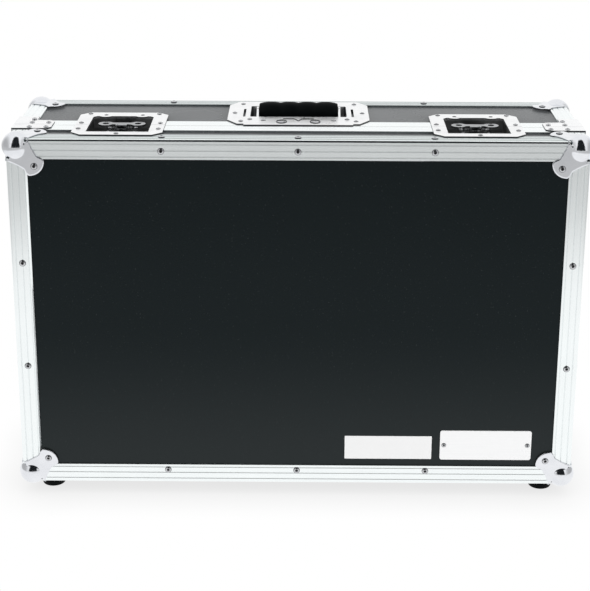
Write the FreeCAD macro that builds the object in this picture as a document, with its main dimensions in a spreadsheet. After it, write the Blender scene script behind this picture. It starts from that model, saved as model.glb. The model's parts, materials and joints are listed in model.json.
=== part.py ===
import FreeCAD, Part
import math
import os
import Sketcher

# Flight case for a guitar pedal board, standing on its feet as it is carried.
# The row frame has +X to the right, +Y to the back and +Z up. The origin is on the floor, in the middle
# of the feet. The shallow front half is the lid, the deep back half is the base, and they part at the seam.

doc = FreeCAD.newDocument("pedal_case")

# Sizes in millimetres: name, value, what it is
SIZES = [
    ("case_width", 700, "outside width over the edge angles"),
    ("case_height", 453, "outside height over the edge angles"),
    ("case_depth", 208, "outside depth over the edge angles"),
    ("lid_depth", 69, "from the front face to the seam"),
    ("foot_height", 17, "from the floor to the bottom face"),
    ("seam_gap", 0.4, "gap between the closed halves"),
    ("panel_thick", 7, "laminated plywood"),
    ("angle_wall", 2, "wall of the aluminium edge angle"),
    ("angle_flange", 24.8, "width of each flange of the edge angle"),
    ("angle_round", 3, "outer corner radius of the edge angle"),
    ("groove_wide", 1, "width of a line rolled into the angle"),
    ("groove_deep", 0.5, "depth of a line rolled into the angle"),
    ("groove_first", 6, "from the outer corner to the first line"),
    ("groove_second", 14, "from the outer corner to the second line"),
    ("groove_third", 21.5, "from the outer corner to the third line"),
    ("lid_seam_flange", 23.4, "outer flange of the lid's seam extrusion"),
    ("base_seam_flange", 22.7, "outer flange of the base's seam extrusion"),
    ("lip_wide", 9, "inner lip of the seam extrusions"),
    ("lip_wall", 1.5, "wall of the inner lip"),
    ("tongue_web", 2.5, "web over the base panel's edge"),
    ("slot_web", 5, "web over the lid panel's edge"),
    ("tongue_high", 3, "how far the tongue stands out of the base"),
    ("tongue_root", 2.6, "tongue thickness at its root"),
    ("tongue_tip", 1.4, "tongue thickness at its tip"),
    ("tongue_inset", 5.5, "from the outer face to the middle of the tongue"),
    ("tongue_room", 0.4, "room round the tongue in its slot"),
    ("mitre_reach", 30, "depth of the mitred ends of the seam bars"),
    ("ball_radius", 17.5, "ball of the corner castings"),
    ("ball_inset", 11.3, "from each face to the centre of the ball"),
    ("paddle_reach", 57.3, "from the corner to the tip of a paddle, along the diagonal"),
    ("paddle_plate", 1.5, "plate of the corner castings"),
    ("paddle_rivet", 33.6, "from each edge to the rivet of a paddle"),
    ("brace_long", 47, "arm of a seam brace along the seam"),
    ("base_brace_wide", 21, "width of the base brace's seam arm"),
    ("base_brace_leg", 39, "length of the base brace's leg along the edge"),
    ("lid_brace_wide", 20, "width of the lid brace"),
    ("leg_wide", 24.4, "width of the base brace's leg"),
    ("brace_plate", 1.2, "plate of the seam braces"),
    ("brace_tip", 6, "cut at the tip of a brace"),
    ("brace_screw_near", 20, "from the corner edge to a brace's first screws"),
    ("brace_screw_far", 40.5, "from the corner edge to a brace's outer screws"),
    ("base_screw_back", 8, "from the seam to the base brace's first screws"),
    ("leg_screw_back", 26, "from the seam to the screw in a brace's leg"),
    ("lid_screw_front", 14, "from the seam to the lid brace's screws"),
    ("hinge_inset", 128, "from the side faces to the middle of the outer hinges"),
    ("hinge_wide", 60, "width of a hinge along its pin"),
    ("hinge_reach", 20, "width of one hinge leaf"),
    ("leaf_thick", 1.5, "hinge leaf"),
    ("knuckle_radius", 3.3, "outside of the hinge knuckles"),
    ("hinge_drop", 3.8, "from the bottom face down to the hinge pin"),
    ("knuckle_gap", 0.3, "gap between neighbouring knuckles"),
    ("knuckle_room", 0.5, "room cut in a leaf round the other's knuckle"),
    ("hinge_pin_radius", 1.6, "hinge pin"),
    ("running_fit", 0.05, "radial clearance of a turning pin"),
    ("foot_top_radius", 15.4, "rubber foot where it meets the case"),
    ("foot_low_radius", 14.4, "rubber foot at the floor"),
    ("foot_bore_radius", 6, "recess for the foot's screw"),
    ("foot_bore_deep", 8, "depth of that recess"),
    ("rivet_radius", 4.2, "blind rivet head"),
    ("rivet_high", 1.7, "blind rivet head"),
    ("rivet_hole", 1.2, "radius of the hole left by the mandrel"),
    ("rivet_hole_deep", 0.9, "depth of that hole"),
    ("small_rivet_radius", 3, "rivet head on the dishes"),
    ("small_rivet_high", 1.2, "rivet head on the dishes"),
    ("boss_radius", 5.4, "wide flat rivets in the middle of the handle's lip"),
    ("boss_high", 1.1, "wide flat rivets in the middle of the handle's lip"),
    ("screw_radius", 3.2, "pan screw head"),
    ("screw_high", 1.3, "pan screw head"),
    ("screw_cross_long", 4, "cross recess of a screw"),
    ("screw_cross_wide", 0.9, "cross recess of a screw"),
    ("screw_cross_deep", 0.7, "cross recess of a screw"),
    ("front_rivet_inset", 14.5, "from the top edge to the front face's rivets"),
    ("low_rivet_inset", 17.8, "from the bottom edge to the front face's rivets"),
    ("side_rivet_inset", 13.5, "from the side edge to the front face's rivets"),
    ("flange_rivet_inset", 12, "from the face to the rivets of the other flange"),
    ("latch_inset", 130, "from the side faces to the middle of a latch"),
    ("latch_wide", 111, "latch plate across"),
    ("latch_reach", 62, "latch plate behind the seam"),
    ("keeper_reach", 51, "keeper plate in front of the seam"),
    ("latch_corner", 12, "cut corners of the latch plates"),
    ("dish_plate", 1.2, "pressed steel of the dishes"),
    ("latch_mouth", 76, "opening of the latch dish across"),
    ("latch_mouth_back", 43, "opening of the latch dish behind the seam"),
    ("keeper_mouth", 36, "opening of the keeper dish in front of the seam"),
    ("mouth_corner", 5, "cut corners of the latch opening"),
    ("latch_deep", 15, "depth of the latch dish"),
    ("dish_room", 0.3, "room round a dish in its panel"),
    ("lobe_offset", 23, "from the middle to a lobe of the latch plate"),
    ("lobe_half", 8, "half width of that lobe"),
    ("lobe_radius", 10, "radius of that lobe's edge"),
    ("oval_radius", 2.6, "dark hole in each lobe"),
    ("oval_inset", 13, "from the latch plate's back edge to those holes"),
    ("latch_rivet_inset", 6.5, "from the latch plate's edges to its rivets"),
    ("latch_rivet_back", 8, "from the seam to the latch plate's side rivets"),
    ("keeper_rivet_front", 21, "from the seam to the keeper plate's side rivets"),
    ("bed_wide", 40, "latch bed plate across"),
    ("bed_front", 2, "from the seam to the bed plate"),
    ("bed_back", 32, "from the seam to the bed plate's back edge"),
    ("bed_high", 5, "latch bed plate"),
    ("bed_rivet_in", 4.5, "from the bed plate's front and back edge to its rivets"),
    ("bed_rivet_side", 3.6, "from the bed plate's sides to its rivets"),
    ("rail_wide", 3, "rails that guide the hook"),
    ("rail_high", 3.1, "rails that guide the hook"),
    ("spindle_back", 9.5, "from the seam to the latch spindle"),
    ("spindle_radius", 4.5, "stem of the spindle"),
    ("spindle_seat", 0.2, "gap under the spindle's stem"),
    ("hook_lift", 0.3, "gap under the hook"),
    ("hook_thick", 2.5, "hook plate"),
    ("hook_wide", 18.4, "hook plate"),
    ("hook_nose", 29, "from the seam to the hook's nose"),
    ("hook_tail", 24, "from the seam to the hook's tail"),
    ("hook_travel", 6, "how far the spindle moves the hook"),
    ("hook_slot_room", 0.3, "room round the stem in the hook's slot"),
    ("nose_long", 2, "upturned edge of the nose"),
    ("nose_high", 1.5, "upturned edge of the nose"),
    ("head_radius", 8, "head of the spindle"),
    ("head_gap", 0.3, "gap between the rails and the head"),
    ("head_high", 1.7, "head of the spindle"),
    ("lug_half", 1.8, "half width of the lugs that carry the wing"),
    ("lug_inner", 4.8, "from the middle to a lug"),
    ("lug_thick", 2.2, "lug"),
    ("lug_high", 3.3, "lug"),
    ("wing_pin_rise", 1.7, "from the spindle head up to the wing's pin"),
    ("wing_pin_radius", 0.8, "pin of the wing"),
    ("wing_knuckle_radius", 1.5, "knuckle of the wing"),
    ("wing_thick", 2, "wing plate"),
    ("wing_tongue", 9, "width of the wing's tongue"),
    ("wing_lobe_offset", 20, "from the middle to a lobe of the wing"),
    ("wing_lobe_back", 9, "from the pin to the middle of a lobe"),
    ("wing_lobe_radius", 9.5, "lobe of the wing"),
    ("wing_lobe_hole", 4, "hole in a lobe of the wing"),
    ("wing_bar_wide", 9, "bar between the wing's lobes"),
    ("keeper_bar_wide", 28, "keeper bar across"),
    ("keeper_bar_front", 26, "from the seam to the keeper bar's front"),
    ("keeper_bar_thick", 4, "keeper bar"),
    ("handle_wide", 178, "handle plate across"),
    ("handle_front", 71, "from the front face to the handle plate"),
    ("handle_back", 195, "from the front face to the handle plate's back edge"),
    ("handle_cut_wide", 13, "cut corners of the handle plate"),
    ("handle_cut_long", 20, "cut corners of the handle plate"),
    ("handle_lip_half", 68, "half width of the handle plate's front lip"),
    ("handle_lip_long", 5, "front lip of the handle plate"),
    ("handle_mouth", 122, "opening of the handle dish across"),
    ("handle_mouth_front", 113, "from the front face to that opening"),
    ("handle_mouth_back", 170, "from the front face to its back edge"),
    ("handle_mouth_round", 2.5, "corner radius of that opening"),
    ("handle_deep", 18, "depth of the handle dish"),
    ("vent_inset", 67, "from the middle to the slot beside the opening"),
    ("vent_wide", 3, "slot beside the opening"),
    ("vent_long", 41, "slot beside the opening"),
    ("pivot_back", 6, "from the opening's front edge to the handle's pivot"),
    ("pivot_drop", 8, "from the top face down to the handle's pivot"),
    ("grip_back", 28, "from the opening's front edge to the middle of the grip"),
    ("grip_above", 2.4, "from the top face up to the middle of the grip"),
    ("grip_valley", 10.4, "radius of the grip between two finger bumps"),
    ("grip_end", 9.2, "radius of the grip at its ends"),
    ("grip_long", 100, "grip"),
    ("grip_end_long", 4, "tapered end of the grip"),
    ("bump_radius", 56, "radius of a finger bump along the grip"),
    ("core_radius", 4, "steel core of the grip"),
    ("arm_gap", 0.3, "gap between the grip and an arm"),
    ("arm_thick", 3, "arm of the bail"),
    ("arm_half", 5, "half width of an arm"),
    ("stub_radius", 2.95, "pivot stub of the bail"),
    ("stub_past", 1.3, "how far a stub stands out of the dish"),
    ("stub_room", 2.5, "room for the stub's end in the panel"),
    ("spring_radius", 4.3, "mean radius of the return springs"),
    ("spring_wire", 0.7, "wire radius of the return springs"),
    ("spring_pitch", 1.7, "pitch of the return springs"),
    ("spring_turns_long", 5.1, "length of the coil"),
    ("spring_gap", 0.8, "gap between a spring and the dish's wall"),
    ("handle_rivet_x", 81, "from the middle to the side rivets"),
    ("handle_rivet_corner", 72, "from the middle to the corner rivets"),
    ("handle_rivet_front", 90, "from the front face to the front pair"),
    ("handle_rivet_middle", 133, "from the front face to the middle pair"),
    ("handle_rivet_back", 182, "from the front face to the back pair"),
    ("lip_rivet_wide", 61, "from the middle to the outer lip rivets"),
    ("lip_rivet_mid", 44, "from the middle to the next lip rivets"),
    ("lip_rivet_near", 22, "from the middle to the inner lip rivets"),
    ("lip_rivet_wide_back", 100, "from the front face to the outer lip rivets"),
    ("lip_rivet_mid_back", 94, "from the front face to the next lip rivets"),
    ("lip_rivet_near_back", 85, "from the front face to the inner lip rivets"),
    ("floor_foam", 12, "foam on the back panel"),
    ("wall_foam", 12, "foam on the side and bottom walls"),
    ("top_foam", 17, "foam under the top wall"),
    ("lid_foam_thick", 20, "foam in the lid"),
    ("foam_room", 1, "room round the dishes in the foam"),
    ("foam_seam", 0.5, "gap between neighbouring strips of foam"),
    ("name_plate_right", 52, "from the right side face to the name plate"),
    ("name_plate_low", 33.6, "from the bottom face to the name plate"),
    ("name_plate_wide", 116, "blank name plate"),
    ("name_plate_high", 40.5, "blank name plate"),
    ("name_plate_thick", 1, "blank name plate"),
    ("name_plate_round", 3, "corner radius of the name plate"),
    ("name_screw_inset", 5, "from the plate's ends to its screws"),
    ("label_gap", 10.5, "between the blank label and the name plate"),
    ("label_low", 34, "from the bottom face to the blank label"),
    ("label_wide", 110.5, "blank label"),
    ("label_high", 31.6, "blank label"),
    ("label_thick", 0.3, "blank label"),
    ("overrun", 5, "how far a cutting tool runs past what it cuts"),
]

# Outline of a corner paddle, as shares of paddle_reach: along the diagonal, and to each side of it
PADDLE_ROOT_SHARES = (0.349, 0.3316)
PADDLE_NECK_SHARES = (0.7155, 0.2042)
PADDLE_SHOULDER_SHARES = (0.82, 0.2391)
PADDLE_FAN_SHARES = (0.8935, 0.2373)
PADDLE_NECK_ARC_SHARE = 1.6
PADDLE_FLARE_ARC_SHARE = 0.35
PADDLE_TIP_ARC_SHARE = 0.318
DIAGONAL = math.sqrt(0.5)
GRIP_BUMPS = 4

# Rivets along an edge: across from the middle as a share of the width, and up as shares of the height
RIVET_STEP_SHARE = 0.2343
SIDE_RIVET_SHARES = (0.6534, 0.3532)

# Profile of a rivet head, as shares of its radius and height, from the rim to the flat top
RIVET_SHARES = ((1, 0.3), (0.88, 0.62), (0.66, 0.86))
RIVET_FLAT_SHARE = 0.15

# A hinge leaf's screws stand this share of its reach away from the pin
LEAF_SCREW_SHARE = 0.68


class Term:
    """A length that keeps its number beside the sheet expression that gives it."""

    def __init__(self, text, number):
        self.text = text
        self.number = number

    def __add__(self, other):
        return Term("(%s + %s)" % (self.text, words(other)), self.number + number(other))

    __radd__ = __add__

    def __sub__(self, other):
        return Term("(%s - %s)" % (self.text, words(other)), self.number - number(other))

    def __rsub__(self, other):
        return Term("(%s - %s)" % (words(other), self.text), number(other) - self.number)

    def __mul__(self, other):
        return Term("(%s * %s)" % (self.text, words(other)), self.number * number(other))

    __rmul__ = __mul__

    def __truediv__(self, other):
        return Term("(%s / %s)" % (self.text, words(other)), self.number / number(other))

    def __neg__(self):
        return Term("(0 - %s)" % self.text, -self.number)


def words(value):
    """The expression text of a term or a plain number."""
    return value.text if isinstance(value, Term) else "%.9g" % value


def number(value):
    """The number of a term or a plain number."""
    return value.number if isinstance(value, Term) else value


def tie(thing, name, value):
    """Binds a property to a term's expression."""
    thing.setExpression(name, words(value))


sheet = doc.addObject("Spreadsheet::Sheet", "sizes")
S = {}
for row, (alias, amount, note) in enumerate(SIZES, start=1):
    sheet.set("A%d" % row, alias)
    sheet.set("B%d" % row, str(amount))
    sheet.set("C%d" % row, note)
    sheet.setAlias("B%d" % row, alias)
    S[alias] = Term("sizes." + alias, amount)
doc.recompute()


def place(thing, at):
    """Binds the position of an object to three terms."""
    for axis, value in zip("xyz", at):
        tie(thing, ".Placement.Base." + axis, value)


def box(name, at, size):
    made = doc.addObject("Part::Box", name)
    for side, value in zip(("Length", "Width", "Height"), size):
        tie(made, side, value)
    place(made, at)
    return made


TURN_TO_AXIS = {
    "Z": FreeCAD.Rotation(),
    "X": FreeCAD.Rotation(FreeCAD.Vector(0, 1, 0), 90),
}


def cylinder(name, at, radius, length, axis="Z"):
    made = doc.addObject("Part::Cylinder", name)
    made.Placement = FreeCAD.Placement(FreeCAD.Vector(), TURN_TO_AXIS[axis])
    tie(made, "Radius", radius)
    tie(made, "Height", length)
    place(made, at)
    return made


def cone(name, at, low_radius, top_radius, height):
    made = doc.addObject("Part::Cone", name)
    tie(made, "Radius1", low_radius)
    tie(made, "Radius2", top_radius)
    tie(made, "Height", height)
    place(made, at)
    return made


def sphere(name, at, radius):
    made = doc.addObject("Part::Sphere", name)
    tie(made, "Radius", radius)
    place(made, at)
    return made


def group(name, *solids):
    """Several separate solids as one object."""
    made = doc.addObject("Part::Compound", name)
    made.Links = list(solids)
    return made


def cut(name, base, *tools):
    made = doc.addObject("Part::Cut", name)
    made.Base = base
    made.Tool = tools[0] if len(tools) == 1 else group(name + "_tools", *tools)
    return made


def fuse(name, *pieces):
    made = doc.addObject("Part::MultiFuse", name)
    made.Shapes = list(pieces)
    made.Refine = True
    return made


def common(name, first, second):
    made = doc.addObject("Part::Common", name)
    made.Base = first
    made.Tool = second
    return made


def mirrored(name, source, axis, at=0):
    """The mirror image across a plane square to an axis."""
    made = doc.addObject("Part::Mirroring", name)
    made.Source = source
    made.Normal = FreeCAD.Vector(*(float(axis == letter) for letter in "XYZ"))
    if at != 0:
        tie(made, "Base." + axis.lower(), at)
    return made


def origin_feature(body, role):
    return [f for f in body.Origin.OriginFeatures if f.Role == role][0]


def arc_between(first, last, radius, hint):
    """The short arc between two spots, with its centre on the hint's side, and whether it runs backwards."""
    dx, dy = last[0] - first[0], last[1] - first[1]
    chord = math.hypot(dx, dy)
    rise = math.sqrt(max(radius**2 - (chord / 2) ** 2, 0))
    side = 1 if dx * (hint[1] - first[1]) - dy * (hint[0] - first[0]) > 0 else -1
    cx = (first[0] + last[0]) / 2 - side * dy / chord * rise
    cy = (first[1] + last[1]) / 2 + side * dx / chord * rise
    start = math.atan2(first[1] - cy, first[0] - cx)
    stop = math.atan2(last[1] - cy, last[0] - cx)
    circle = Part.Circle(FreeCAD.Vector(cx, cy, 0), FreeCAD.Vector(0, 0, 1), radius)
    if side > 0:
        return Part.ArcOfCircle(circle, start, stop), False
    return Part.ArcOfCircle(circle, stop, start), True


def draw_loop(sketch, points):
    """Draws a closed outline. A point is (x, y), or (x, y, radius, (hint x, hint y)) before an arc."""
    first = sketch.GeometryCount
    spots = [(number(p[0]), number(p[1])) for p in points]
    ends = []
    for i, point in enumerate(points):
        here, there = spots[i], spots[(i + 1) % len(points)]
        if len(point) > 2:
            hint = (number(point[3][0]), number(point[3][1]))
            arc, backwards = arc_between(here, there, number(point[2]), hint)
            sketch.addGeometry(arc, False)
            ends.append((2, 1) if backwards else (1, 2))
        else:
            line = Part.LineSegment(FreeCAD.Vector(*here, 0), FreeCAD.Vector(*there, 0))
            sketch.addGeometry(line, False)
            ends.append((1, 2))
    for i, point in enumerate(points):
        following = (i + 1) % len(points)
        join = Sketcher.Constraint(
            "Coincident", first + i, ends[i][1], first + following, ends[following][0]
        )
        sketch.addConstraint(join)
        for kind, value in zip(("DistanceX", "DistanceY"), point[:2]):
            fix = Sketcher.Constraint(kind, -1, 1, first + i, ends[i][0], number(value))
            index = sketch.addConstraint(fix)
            if isinstance(value, Term):
                tie(sketch, "Constraints[%d]" % index, value)
        if len(point) > 2:
            index = sketch.addConstraint(Sketcher.Constraint("Radius", first + i, number(point[2])))
            tie(sketch, "Constraints[%d]" % index, point[2])


def draw_circle(sketch, x, y, radius):
    middle = FreeCAD.Vector(number(x), number(y), 0)
    index = sketch.addGeometry(Part.Circle(middle, FreeCAD.Vector(0, 0, 1), number(radius)), False)
    for kind, value in (("DistanceX", x), ("DistanceY", y)):
        fix = sketch.addConstraint(Sketcher.Constraint(kind, -1, 1, index, 3, number(value)))
        if isinstance(value, Term):
            tie(sketch, "Constraints[%d]" % fix, value)
    fix = sketch.addConstraint(Sketcher.Constraint("Radius", index, number(radius)))
    tie(sketch, "Constraints[%d]" % fix, radius)


def new_sketch(body, role):
    sketch = body.newObject("Sketcher::SketchObject", body.Name + "_outline")
    sketch.AttachmentSupport = [(origin_feature(body, role), "")]
    sketch.MapMode = "FlatFace"
    return sketch


def prism(name, role, points, at, length, loops=(), circles=()):
    """A padded outline: XY pads up, YZ pads to the right, XZ pads to the back. Loops and circles are holes."""
    body = doc.addObject("PartDesign::Body", name)
    sketch = new_sketch(body, role)
    draw_loop(sketch, points)
    for loop in loops:
        draw_loop(sketch, loop)
    for circle in circles:
        draw_circle(sketch, *circle)
    pad = body.newObject("PartDesign::Pad", name + "_pad")
    pad.Profile = sketch
    tie(pad, "Length", length)
    pad.Reversed = role == "XZ_Plane"
    place(body, at)
    return body


def turned(name, role, points, at, axis):
    """A full revolution of an outline about one of its sketch's own axes."""
    body = doc.addObject("PartDesign::Body", name)
    sketch = new_sketch(body, role)
    draw_loop(sketch, points)
    turn = body.newObject("PartDesign::Revolution", name + "_turn")
    turn.Profile = sketch
    turn.ReferenceAxis = (sketch, [axis])
    turn.Angle = 360
    place(body, at)
    return body


def fasteners(name, template, places):
    """Copies of one fastener, each with its foot at a spot and its head pointing along a direction."""
    doc.recompute()
    copies = []
    for x, y, z, direction in places:
        turn = FreeCAD.Rotation(FreeCAD.Vector(0, 0, 1), FreeCAD.Vector(*direction))
        copy = template.Shape.copy()
        copy.Placement = FreeCAD.Placement(FreeCAD.Vector(number(x), number(y), number(z)), turn)
        copies.append(copy)
    made = doc.addObject("Part::Feature", name)
    made.Shape = Part.makeCompound(copies)
    return made


NODES = {}


def node(name, piece):
    """Marks an object as a finished sub-part with its own name."""
    piece.Label = name
    NODES[name] = piece
    return piece


UP, DOWN = (0, 0, 1), (0, 0, -1)
LEFT, RIGHT = (-1, 0, 0), (1, 0, 0)
FORWARD, BACKWARD = (0, -1, 0), (0, 1, 0)

# Places that many pieces share
half_width = S["case_width"] / 2
front = -S["case_depth"] / 2
back = S["case_depth"] / 2
bottom = S["foot_height"]
top = S["foot_height"] + S["case_height"]
middle = S["foot_height"] + S["case_height"] / 2
seam = front + S["lid_depth"]
lid_edge = seam - S["seam_gap"]
wall = S["angle_wall"]
panel = S["panel_thick"]
flange = S["angle_flange"]
inner_top = top - wall - panel
inner_bottom = bottom + wall + panel
inner_half = half_width - wall - panel


def from_front(distance):
    return front + distance


# Cut-outs that the dishes need in the top wall
latch_half = S["latch_mouth"] / 2
notch_half = latch_half + S["dish_plate"] + S["dish_room"]
latch_notch_back = seam + S["latch_mouth_back"] + S["dish_plate"] + S["dish_room"]
keeper_notch_front = seam - S["keeper_mouth"] - S["dish_plate"] - S["dish_room"]
latch_floor = top - S["latch_deep"]
latch_offset = half_width - S["latch_inset"]
hinge_offset = half_width - S["hinge_inset"]


def latch_notches(name):
    """Two blocks that open the top wall, both seam extrusions included, for the latch dishes."""
    low = latch_floor - S["dish_plate"] - S["dish_room"]
    size = (notch_half * 2, latch_notch_back - keeper_notch_front, top + S["overrun"] - low)
    left = box(name + "_left", (-latch_offset - notch_half, keeper_notch_front, low), size)
    right = box(name + "_right", (latch_offset - notch_half, keeper_notch_front, low), size)
    return group(name, left, right)


notches = latch_notches("latch_notches")
handle_hole_half = S["handle_mouth"] / 2 + S["dish_plate"] + S["stub_room"]
handle_hole_front = from_front(S["handle_mouth_front"]) - S["dish_plate"] - S["dish_room"]
handle_hole_back = from_front(S["handle_mouth_back"]) + S["dish_plate"] + S["dish_room"]
handle_floor = top - S["handle_deep"]
handle_hole = box(
    "handle_hole",
    (-handle_hole_half, handle_hole_front, handle_floor - S["dish_plate"] - S["foam_room"]),
    (handle_hole_half * 2, handle_hole_back - handle_hole_front, S["handle_deep"] * 2),
)


# Panels of laminated plywood
def make_panels():
    wide = S["case_width"] - wall * 2
    high = S["case_height"] - wall * 2
    side_high = high - panel * 2
    face = (-half_width + wall, front + wall, bottom + wall)
    node("lid_front_panel", box("lid_front", face, (wide, panel, high)))
    face = (-half_width + wall, back - wall - panel, bottom + wall)
    node("base_back_panel", box("base_back", face, (wide, panel, high)))
    halves = {
        "lid": (front + wall + panel, lid_edge - S["slot_web"]),
        "base": (seam + S["tongue_web"], back - wall - panel),
    }
    for half, (near, far) in halves.items():
        long = far - near
        top_wall = box(half + "_top", (-half_width + wall, near, inner_top), (wide, long, panel))
        holes = [notches] if half == "lid" else [notches, handle_hole]
        node(half + "_top_panel", cut(half + "_top_cut", top_wall, *holes))
        low = (-half_width + wall, near, bottom + wall)
        node(half + "_bottom_panel", box(half + "_bottom", low, (wide, long, panel)))
        low = (-half_width + wall, near, inner_bottom)
        node(half + "_left_panel", box(half + "_left", low, (panel, long, side_high)))
        low = (inner_half, near, inner_bottom)
        node(half + "_right_panel", box(half + "_right", low, (panel, long, side_high)))


# Aluminium edge angles: an L with rounded corner and three rolled lines on each flange
def angle_outline(across, down):
    """The L's outline. across and down are 1 or -1 and say which way the two flanges run."""
    half = S["groove_wide"] / 2
    deep = S["groove_deep"]
    lines = [S["groove_first"], S["groove_second"], S["groove_third"]]
    corner = S["angle_round"]
    points = [(0, corner, corner, (corner, corner)), (corner, 0)]
    for line in lines:
        points += [(line - half, 0), (line - half, deep), (line + half, deep), (line + half, 0)]
    points += [(flange, 0), (flange, wall), (wall, wall), (wall, flange), (0, flange)]
    for line in reversed(lines):
        points += [(0, line + half), (deep, line + half), (deep, line - half), (0, line - half)]
    turned_points = []
    for point in points:
        spot = (point[0] * across, point[1] * down)
        if len(point) > 2:
            spot += (point[2], (point[3][0] * across, point[3][1] * down))
        turned_points.append(spot)
    return turned_points


def make_angles():
    long = S["case_width"] - flange * 2
    tall = S["case_height"] - flange * 2
    upper = prism(
        "edge_top", "YZ_Plane", angle_outline(1, -1), (-half_width + flange, front, top), long
    )
    lower = mirrored("edge_bottom", upper, "Z", middle)
    left = prism(
        "edge_left", "XY_Plane", angle_outline(1, 1), (-half_width, front, bottom + flange), tall
    )
    right = mirrored("edge_right", left, "X")
    ring = node("lid_front_edge_angles", group("lid_ring", upper, lower, left, right))
    node("base_back_edge_angles", mirrored("base_ring", ring, "Y"))
    spans = {
        "lid": (front + flange, lid_edge - S["lid_seam_flange"]),
        "base": (seam + S["base_seam_flange"], back - flange),
    }
    for half, (near, far) in spans.items():
        first = prism(
            half + "_corner", "XZ_Plane", angle_outline(1, -1), (-half_width, near, top), far - near
        )
        second = mirrored(half + "_corner_low", first, "Z", middle)
        left_pair = group(half + "_corner_left", first, second)
        right_pair = mirrored(half + "_corner_right", left_pair, "X")
        node(half + "_corner_angles", group(half + "_corners", left_pair, right_pair))


# Seam extrusions: each holds the panel's edge, and the base's tongue enters the lid's slot
def seam_outline(half):
    """Outline from the seam and from the outer face, as (away from the seam, in from the face)."""
    depth = wall + panel
    inner = depth + S["lip_wall"]
    web = S["slot_web"] if half == "lid" else S["tongue_web"]
    wide = S["lid_seam_flange"] if half == "lid" else S["base_seam_flange"]
    room = S["tongue_room"] if half == "lid" else 0
    reach = S["tongue_high"] + room if half == "lid" else -S["tongue_high"]
    root = S["tongue_root"] / 2 + room
    tip = S["tongue_tip"] / 2 + room
    centre = S["tongue_inset"]
    points = [(0, 0), (wide, 0), (wide, wall), (web, wall), (web, depth), (S["lip_wide"], depth)]
    points += [(S["lip_wide"], inner), (0, inner), (0, centre + root), (reach, centre + tip)]
    points += [(reach, centre - tip), (0, centre - root)]
    return points


def make_seam_bars():
    reach = S["mitre_reach"]
    top_wedge = prism(
        "mitre_top",
        "XZ_Plane",
        [(-half_width, 0), (half_width, 0), (half_width - reach, -reach), (-half_width + reach, -reach)],
        (0, front, top),
        S["case_depth"],
    )
    left_wedge = prism(
        "mitre_left",
        "XZ_Plane",
        [(0, 0), (0, S["case_height"]), (reach, S["case_height"] - reach), (reach, reach)],
        (-half_width, front, bottom),
        S["case_depth"],
    )
    for half, edge, way in (("lid", lid_edge, -1), ("base", seam, 1)):
        outline = seam_outline(half)
        across = prism(
            half + "_seam_top",
            "YZ_Plane",
            [(away * way, -deep) for away, deep in outline],
            (-half_width, edge, top),
            S["case_width"],
        )
        upright = prism(
            half + "_seam_left",
            "XY_Plane",
            [(deep, away * way) for away, deep in outline],
            (-half_width, edge, bottom),
            S["case_height"],
        )
        whole = common(half + "_seam_top_bar", across, top_wedge)
        upper = cut(half + "_seam_top_notched", whole, notches)
        lower = mirrored(half + "_seam_bottom_bar", whole, "Z", middle)
        left = common(half + "_seam_left_bar", upright, left_wedge)
        right = mirrored(half + "_seam_right_bar", left, "X")
        kind = "slot" if half == "lid" else "tongue"
        node(half + "_" + kind + "_extrusions", group(half + "_seam", upper, lower, left, right))


# Corner castings: a ball on the corner and a paddle along the diagonal of each face
def paddle_outline(across, down):
    """A paddle in its face, from the case's corner. across and down are 1 or -1."""
    reach = S["paddle_reach"]

    def spot(along_share, aside_share):
        along, aside = reach * along_share * DIAGONAL, reach * aside_share * DIAGONAL
        return (along - aside) * across, (along + aside) * down

    root, neck = PADDLE_ROOT_SHARES, PADDLE_NECK_SHARES
    shoulder, fan = PADDLE_SHOULDER_SHARES, PADDLE_FAN_SHARES
    above, below = spot(neck[0], 1), spot(neck[0], -1)
    neck_arc, flare_arc = reach * PADDLE_NECK_ARC_SHARE, reach * PADDLE_FLARE_ARC_SHARE
    return [
        (*spot(*root), neck_arc, above),
        (*spot(*neck), flare_arc, above),
        spot(*shoulder),
        (*spot(*fan), reach * PADDLE_TIP_ARC_SHARE, (0, 0)),
        spot(fan[0], -fan[1]),
        (*spot(shoulder[0], -shoulder[1]), flare_arc, below),
        (*spot(neck[0], -neck[1]), neck_arc, below),
        spot(root[0], -root[1]),
    ]


def make_corners():
    inset, plate = S["ball_inset"], S["paddle_plate"]
    ball = sphere("ball", (-half_width + inset, front + inset, top - inset), S["ball_radius"])
    reach = S["ball_radius"] * 2
    inside = box("case_corner", (-half_width + wall, front + wall, top - wall - reach), (reach, reach, reach))
    past = S["ball_radius"]
    room = flange + past
    corner_room = box(
        "corner_room", (-half_width - past, front - past, top - flange), (room, room, room)
    )
    shell = cut("ball_shell", common("ball_trimmed", ball, corner_room), inside)
    on_front = prism(
        "paddle_front", "XZ_Plane", paddle_outline(1, -1), (-half_width, front - plate, top), plate
    )
    on_top = prism("paddle_top", "XY_Plane", paddle_outline(1, 1), (-half_width, front, top), plate)
    on_side = prism(
        "paddle_side", "YZ_Plane", paddle_outline(1, -1), (-half_width - plate, front, top), plate
    )
    corner = fuse("corner", shell, on_front, on_top, on_side)
    low = mirrored("corner_low", corner, "Z", middle)
    left_pair = group("corners_left", corner, low)
    right_pair = mirrored("corners_right", left_pair, "X")
    lid = node("lid_ball_corners", group("corners_lid", left_pair, right_pair))
    node("base_ball_corners", mirrored("corners_base", lid, "Y"))


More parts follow.
